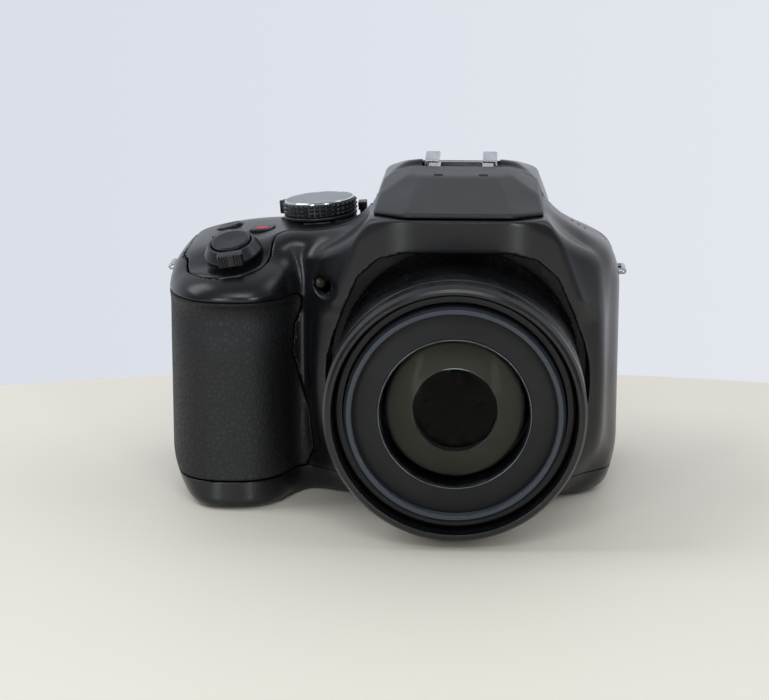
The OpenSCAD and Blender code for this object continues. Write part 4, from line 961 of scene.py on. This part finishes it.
around, given = new_tree("copies_around", {"Copy": "Object", "Count": "Int", "Rows": "Int", "Radius": "Float",
                                           "Pitch": "Float", "Finish": "Material"})
lift = add(around, "ShaderNodeCombineXYZ", None, {"Z": given["Pitch"]})
rows = add(around, "GeometryNodeMeshLine", None, {"Count": given["Rows"], "Offset": lift.outputs[0]},
           mode="OFFSET")
circle = add(around, "GeometryNodeMeshCircle", None, {"Vertices": given["Count"], "Radius": given["Radius"]})
stack = add(around, "GeometryNodeInstanceOnPoints", None,
            {"Points": rows.outputs[0], "Instance": circle.outputs[0]})
spots = add(around, "GeometryNodeRealizeInstances", None, {0: stack.outputs[0]})
spot = add(around, "ShaderNodeSeparateXYZ", None, {0: add(around, "GeometryNodeInputPosition").outputs[0]})
angle = add(around, "ShaderNodeMath", None, {0: spot.outputs["Y"], 1: spot.outputs["X"]}, operation="ARCTAN2")
face = add(around, "ShaderNodeCombineXYZ", None, {"Z": angle.outputs[0]})
stud = add(around, "GeometryNodeObjectInfo", None, {"Object": given["Copy"]})
copies = add(around, "GeometryNodeInstanceOnPoints", None,
             {"Points": spots.outputs[0], "Rotation": face.outputs[0], "Instance": stud.outputs["Geometry"]})
close_tree(around, copies.outputs[0], given)

thread, given = new_tree("screw_thread", {"Turns": "Float", "Radius": "Float", "Length": "Float",
                                          "Ridge": "Float", "Finish": "Material"})
spiral = add(thread, "GeometryNodeCurveSpiral", {"Resolution": 96},
             {"Rotations": given["Turns"], "Start Radius": given["Radius"], "End Radius": given["Radius"],
              "Height": given["Length"]})
ridge = add(thread, "GeometryNodeCurvePrimitiveCircle", {"Resolution": 4}, {"Radius": given["Ridge"]})
sweep = add(thread, "GeometryNodeCurveToMesh", {"Fill Caps": True},
            {"Curve": spiral.outputs[0], "Profile Curve": ridge.outputs[0]})
close_tree(thread, sweep.outputs[0], given)


def raised(place, height):
    """A place moved along its own Z."""
    at, turn = place
    return at + height * turn[:, 2], turn


def grown(name, node, tree, place, **values):
    """Runs a tree on an empty mesh and leaves the result at a place as trim; lengths are in millimetres."""
    host = put(name + "_host", bpy.data.meshes.new(name + "_host"))
    modifier = host.modifiers.new("tree", "NODES")
    modifier.node_group = tree
    values["Finish"] = finish[slot_of_node[node]]
    for item in tree.interface.items_tree:
        if item.in_out == "INPUT" and item.name in values:
            value = values[item.name]
            is_length = item.name in ("Radius", "Pitch", "Length", "Ridge")
            modifier[item.identifier] = value * MM if is_length else value
    mesh = plain_copy(host, name)
    at, turn = place
    mesh.transform(Matrix([[*turn[i], at[i] * MM] for i in range(3)] + [[0, 0, 0, 1]]))
    trim(name, mesh, node)
    print(name + ":", len(mesh.polygons), "faces")


def stud_shape(name, foot, tip_y, tip_z, depth):
    """A small frustum to be copied, with its tip towards +X."""
    base = [(-1, -1), (1, -1), (1, 1), (-1, 1)]
    points = [(foot[0], foot[1] * u, foot[2] * v) for u, v in base]
    points += [(depth, tip_y * u, tip_z * v) for u, v in base]
    mesh = bpy.data.meshes.new(name)
    mesh.from_pydata([[c * MM for c in p] for p in points], [],
                     [(0, 3, 2, 1), (4, 5, 6, 7), (0, 1, 5, 4), (1, 2, 6, 5), (2, 3, 7, 6), (3, 0, 4, 7)])
    return put(name, mesh)


# %% [markdown]
# The mode dial has a spun silver top inside a bright chamfer, and a side with three rows of small pyramids,
# so that a thumb finds a hold. It turns as one piece, and the ring of the power lever shows under it as a
# plain band.

# %% Mode dial
body = [(near_axis, -7.4), (4.4, -7.4), (4.4, -6.4), (3, -6.4), (3, 1.4), (10.3, 1.4), (10.3, 4.9),
        (9.9, 5.0), (near_axis, 5.0)]
top = [(near_axis, 5.02), (9.45, 5.02), (9.4, 5.45), (9.2, 5.5), (near_axis, 5.44)]
rim = [(9.5, 4.9), (10.1, 4.9), (10.05, 5.2), (9.8, 5.5), (9.5, 5.5)]
turned("dial_body", "mode_dial", dial, body, 0.15, 128)
turned("dial_top", "dial_cap", dial, top, 0.1, 128)
turned_trim("dial_rim", "mode_dial", dial, rim, 0.08, 128, "bright", "dial_metal")
pyramid = stud_shape("pyramid", (-0.3, 0.84, 0.58), 0.08, 0.06, 0.52)
grown("dial_knurl", "mode_dial", around, raised(dial, 2.05), Copy=pyramid, Count=40, Rows=3,
      Radius=10.3, Pitch=1.16)

# %% [markdown]
# The shutter button stands in the middle of the zoom lever, a ring with a ribbed tab in front. Both are
# turned pieces. The keys on the deck are pressed caps, and the record key has a red dot.

# %% Shutter button, zoom lever and deck keys
press = [(near_axis, -4.8), (3, -4.8), (3, -4), (2.2, -4), (2.2, 2.4), (5.5, 2.4), (5.5, 3.85), (5.0, 4.25),
         (near_axis, 4.0)]
skirt = [(2.3, -3.6), (4.4, -3.6), (4.4, 0.3), (8.3, 0.3), (8.15, 0.9), (6.6, 3.45), (5.85, 3.5), (5.85, 1.1),
         (2.3, 1.1)]
turned("shutter_key", "shutter_button", shutter, press, 0.2, 96, "spun_dark")
turned("lever_skirt", "zoom_lever", shutter, skirt, 0.25, 128)
at, turn = shutter
tab = (at + turn @ [0, -7.6, 0], turn)
trim("lever_tab", key_cap("lever_tab", tab, 7.2, 3.0, 0.6, 0.45, 3.9, 0.4), "zoom_lever")
joined = bmesh.new()
for x in (-3.1, -2.4, -1.7, -1.0, 1.0, 1.7, 2.4, 3.1):
    spot = (at + turn @ [x, -8.6, 2.1], turn)
    joined.from_mesh(key_cap("tab_rib", spot, 0.4, 2.0, 0.19, -1.5, 1.95, 0.15))
ribs = bpy.data.meshes.new("tab_ribs")
joined.to_mesh(ribs)
joined.free()
ribs.polygons.foreach_set("use_smooth", np.ones(len(ribs.polygons), bool))
trim("tab_ribs", ribs, "zoom_lever")
pressed("key_burst", "burst_button", burst, 7, 4.4, 2.2, -3.8, 0.75, 0.45, 0.25)
pressed("key_record", "record_button", record, 7, 4.4, 2.2, -3.8, 0.75, 0.45, 0.2)
pressed("key_function", "function_button", function, 5.8, 5.8, 2.9, -4, 0.75, 0.45, 0.3)
dot = key_cap("record_dot", record, 3.7, 2.6, 1.3, 0.3, 0.74, 0.1)
trim("record_dot", dot, "record_button", "red", "key")
print("shutter button, zoom lever and three keys")

# %% [markdown]
# The flash lid is cut like a gem: a sloping front, a cheek on each side and a flat roof, over a low upright
# lip. The planes are the same as in the solid, and the tiny rounding between them keeps the facets crisp.

# %% Flash lid
def lid(x, y, z):
    a, f = np.abs(x), fascia_y + 1.2
    up = z - flash_seam - 1.3
    d = smax(0.281 * (f - y) + 0.960 * up, 0.227 * (a - 14.5) + 0.24 * (f - y) + 0.944 * up, 0.12)
    d = smax(d, smax(0.934 * (a - 25.3) + 0.356 * (z - hump_h + 12.5), facet(x, z), 0.4), 0.5)
    d = smax(d, smax(f - y, 0.6 * (a - 14.5) + 0.8 * (f - y), 1.0), 0.5)
    d = smax(d, z - hump_h + 0.02, 0.6)
    back = np.where(y > pivot_y, np.hypot(y - pivot_y, z - pivot_z) - pivot_r + 0.02, y - pivot_y - 9)
    outer = smax(d, back, 0.3)
    return smax(smax(outer, -(outer + 1.7), 0.2), flash_seam - z, 0.3)


def hole_shade_spot(name, node, place, *measures):
    """A dark inset painted as the shade inside a hole."""
    trim(name, key_cap(name, place, *measures), node, "inner_black", "inner_black")


moulding("flash_lid", "flash_cover", lid, (-25, -46, 83), (25, 0, 93), 0.5)
# The two slots in the lid are dark insets as well: painted shade in place of the slots.
for side, x in (("left", -6.0), ("right", 6.6)):
    place = frame_of((x, -20.6, hump_h - 0.62), rx=16)
    hole_shade_spot("lid_slot_" + side, "flash_cover", place, 2.5, 1.5, 0.25, 0.2, 0.72, 0.05)

# %% [markdown]
# The focus lamp is a small amber lens at the end of a cone beside the barrel. The sound holes on the far
# shoulder are too small to look into, so dark discs stand for them: painted shade in place of the holes.

# %% Lamp and sound holes
lamp_place = frame_of((lamp_x, front_y - 6.6, lamp_z), rx=90)
glow = [(near_axis, -5.9), (1.75, -5.9), (1.75, -0.5), (1.2, -0.1), (near_axis, 0.1)]
turned("lamp_lens", "focus_lamp", lamp_place, glow, 0.25, 48)
for i in range(3):
    x = right_x - 13.8 + 1.8 * i
    place = frame_of((x, -16, skin_at(x, -16)), ry=26)
    hole_shade_spot("sound_hole_%d" % i, "front_cover", place, 1.0, 1.0, 0.5, -0.5, 0.04, 0.02)
print("focus lamp and three sound holes")

# %% [markdown]
# The back has the monitor under black glass, a ring of cursor keys, a wheel at the thumb and the finder with
# its rubber cup. Keys get a soft edge and a shallow dish for the fingertip, and both wheels get their ribs.

# %% Back of the camera
def on_back(x, z):
    return frame_of((x, back_y, z), rx=-90)


for name, x, z in (("play", left_x + 44, 51), ("quick", left_x + 42, 14), ("display", left_x + 14, 14)):
    pressed("key_" + name, name + "_button", on_back(x, z), 6, 6, 3, -4, 0.75, 0.4, 0.2)
for name, place in zip(("finder", "lock"), slope_keys):
    pressed("key_" + name, name + "_button", place, 5.8, 5.8, 2.9, -5.8, 0.75, 0.4, 0.2)
pressed("key_menu", "menu_button", on_back(pad_x, pad_z), 9.2, 9.2, 4.6, -2.4, 0.75, 0.5, 0.3)
pressed("monitor_glass", "monitor_window", on_back(monitor_x, monitor_z), 72, 47, 2.4, -1.1, 0.5, 0.25)
wheel = frame_of((wheel_x, wheel_y, wheel_z - wheel_h / 2))
rim = [(2.48, 0), (wheel_r - 0.35, 0), (wheel_r - 0.35, wheel_h), (2.48, wheel_h)]
turned("wheel", "rear_dial", wheel, rim, 0.4, 128)
bar = stud_shape("wheel_bar", (-0.2, 0.4, 1.7), 0.16, 1.7, 0.33)
grown("wheel_ribs", "rear_dial", around, raised(wheel, 2.2), Copy=bar, Count=64, Rows=1,
      Radius=wheel_r - 0.36, Pitch=0.0)
eye_dial = frame_of((15.5, 29, finder_z), ry=90)
rim = [(1.25, 0), (4.7, 0), (4.7, 5.4), (1.25, 5.4)]
turned("eye_dial", "dioptre_dial", eye_dial, rim, 0.3, 96)
short = stud_shape("eye_bar", (-0.2, 0.3, 2.3), 0.12, 2.3, 0.28)
grown("eye_ribs", "dioptre_dial", around, raised(eye_dial, 2.7), Copy=short, Count=36, Rows=1,
      Radius=4.7, Pitch=0.0)

# %% [markdown]
# The tripod socket is a steel bush with a thread, and the front tube has a fine thread for filters. A ridge
# along a spiral is enough for both, because the eye only sees the crests.

# %% Tripod socket and threads
ground = frame_of((0, 0, 0))
bush = [(2.75, 0), (8, 0), (8, 1.4), (6, 1.4), (6, 6.8), (near_axis, 6.8), (near_axis, 5.6), (2.75, 5.6)]
turned("tripod_bush", "tripod_socket", ground, bush, 0.15, 96)
grown("tripod_thread", "tripod_socket", thread, raised(ground, 0.4), Turns=3.9, Radius=2.85,
      Length=5.0, Ridge=0.32)
grown("filter_thread", "front_barrel", thread, raised(lens, 74.1), Turns=2.6, Radius=27.48,
      Length=1.95, Ridge=0.26)
for shape in (pyramid, bar, short):
    bpy.data.objects.remove(shape)

# %% [markdown]
# What has no finer piece keeps its solid: the inner parts, the lens groups and the battery. These only need
# the finish of their material.

# %% The rest of the solids takes its finish
for name, solid in nodes.items():
    solid.data.materials.clear()
    solid.data.materials.append(finish[slot_of_node[name]])
print("solids with a finish:", len(nodes))

# %% [markdown]
# The set is a plain pale table top under soft light, as in a small studio: a box of light above each side, a
# tall narrow one on each side in front for the long highlights on the bow and the ring, and a wide one high
# in front. The wall behind is brighter than the room in front, so the black casing stays black.

# %% Table and light
table = bpy.data.meshes.new("table_top")
shape = bmesh.new()
table_r, table_at = 0.45, (0, -0.332, -0.0002)
bmesh.ops.create_circle(shape, cap_ends=True, radius=table_r, segments=128)
bmesh.ops.translate(shape, vec=table_at, verts=shape.verts)
shape.to_mesh(table)
shape.free()
table_material, tree, shader = new_finish("cream_laminate", Base_Color=linear("fbf3e3"), Roughness=0.6)
table.materials.append(table_material)
floor = put("table_top", table)

world = bpy.data.worlds.new("studio")
world.use_nodes = True
tree, sky = world.node_tree, world.node_tree.nodes["Background"]
way = add(tree, "ShaderNodeSeparateXYZ", None, {0: add(tree, "ShaderNodeTexCoord").outputs["Generated"]})
side = add(tree, "ShaderNodeMapRange", {"From Min": -0.2, "From Max": 0.15}, {"Value": way.outputs["X"]})
level = add(tree, "ShaderNodeMapRange", {"From Min": -0.4, "From Max": 0.6, "To Min": 0.32, "To Max": 1.0},
            {"Value": way.outputs["Y"]}, interpolation_type="SMOOTHSTEP")
hue = add(tree, "ShaderNodeMix", {6: linear("dadfe8"), 7: linear("e4e7ee")}, {"Factor": side.outputs["Result"]},
          data_type="RGBA")
dress(tree, sky, Color=hue.outputs[2], Strength=level.outputs["Result"])
bpy.context.scene.world = world
bpy.context.scene.view_settings.view_transform = "Standard"


def soft_box(name, at, towards, size, watts):
    """A rectangle of soft, slightly blue light; lengths are in metres."""
    light = bpy.data.lights.new(name, "AREA")
    light.shape, light.size, light.size_y, light.energy = "RECTANGLE", size[0], size[1], watts
    light.color = (0.91, 0.955, 1.0)
    lamp = put(name, light)
    lamp.location = at
    lamp.rotation_mode = "QUATERNION"
    lamp.rotation_quaternion = (Vector(towards) - Vector(at)).to_track_quat("-Z", "Y")


soft_box("light_over_left", (-0.75, -0.05, 0.75), (0, -0.03, 0.04), (0.4, 0.7), 2.8)
soft_box("light_over_right", (0.75, -0.05, 0.75), (0, -0.03, 0.04), (0.4, 0.7), 1.1)
soft_box("light_left", (-0.42, -0.95, 0.1), (0, -0.03, 0.05), (0.09, 0.8), 2.8)
soft_box("light_right", (0.42, -0.95, 0.1), (0, -0.03, 0.05), (0.09, 0.8), 2.8)
soft_box("light_front", (0, -1.0, 1.0), (0, -0.1, 0.0), (0.7, 0.3), 3.2)

# %% [markdown]
# Last, the view layer is brought up to date.

# %% Bring the scene up to date
bpy.context.view_layer.update()
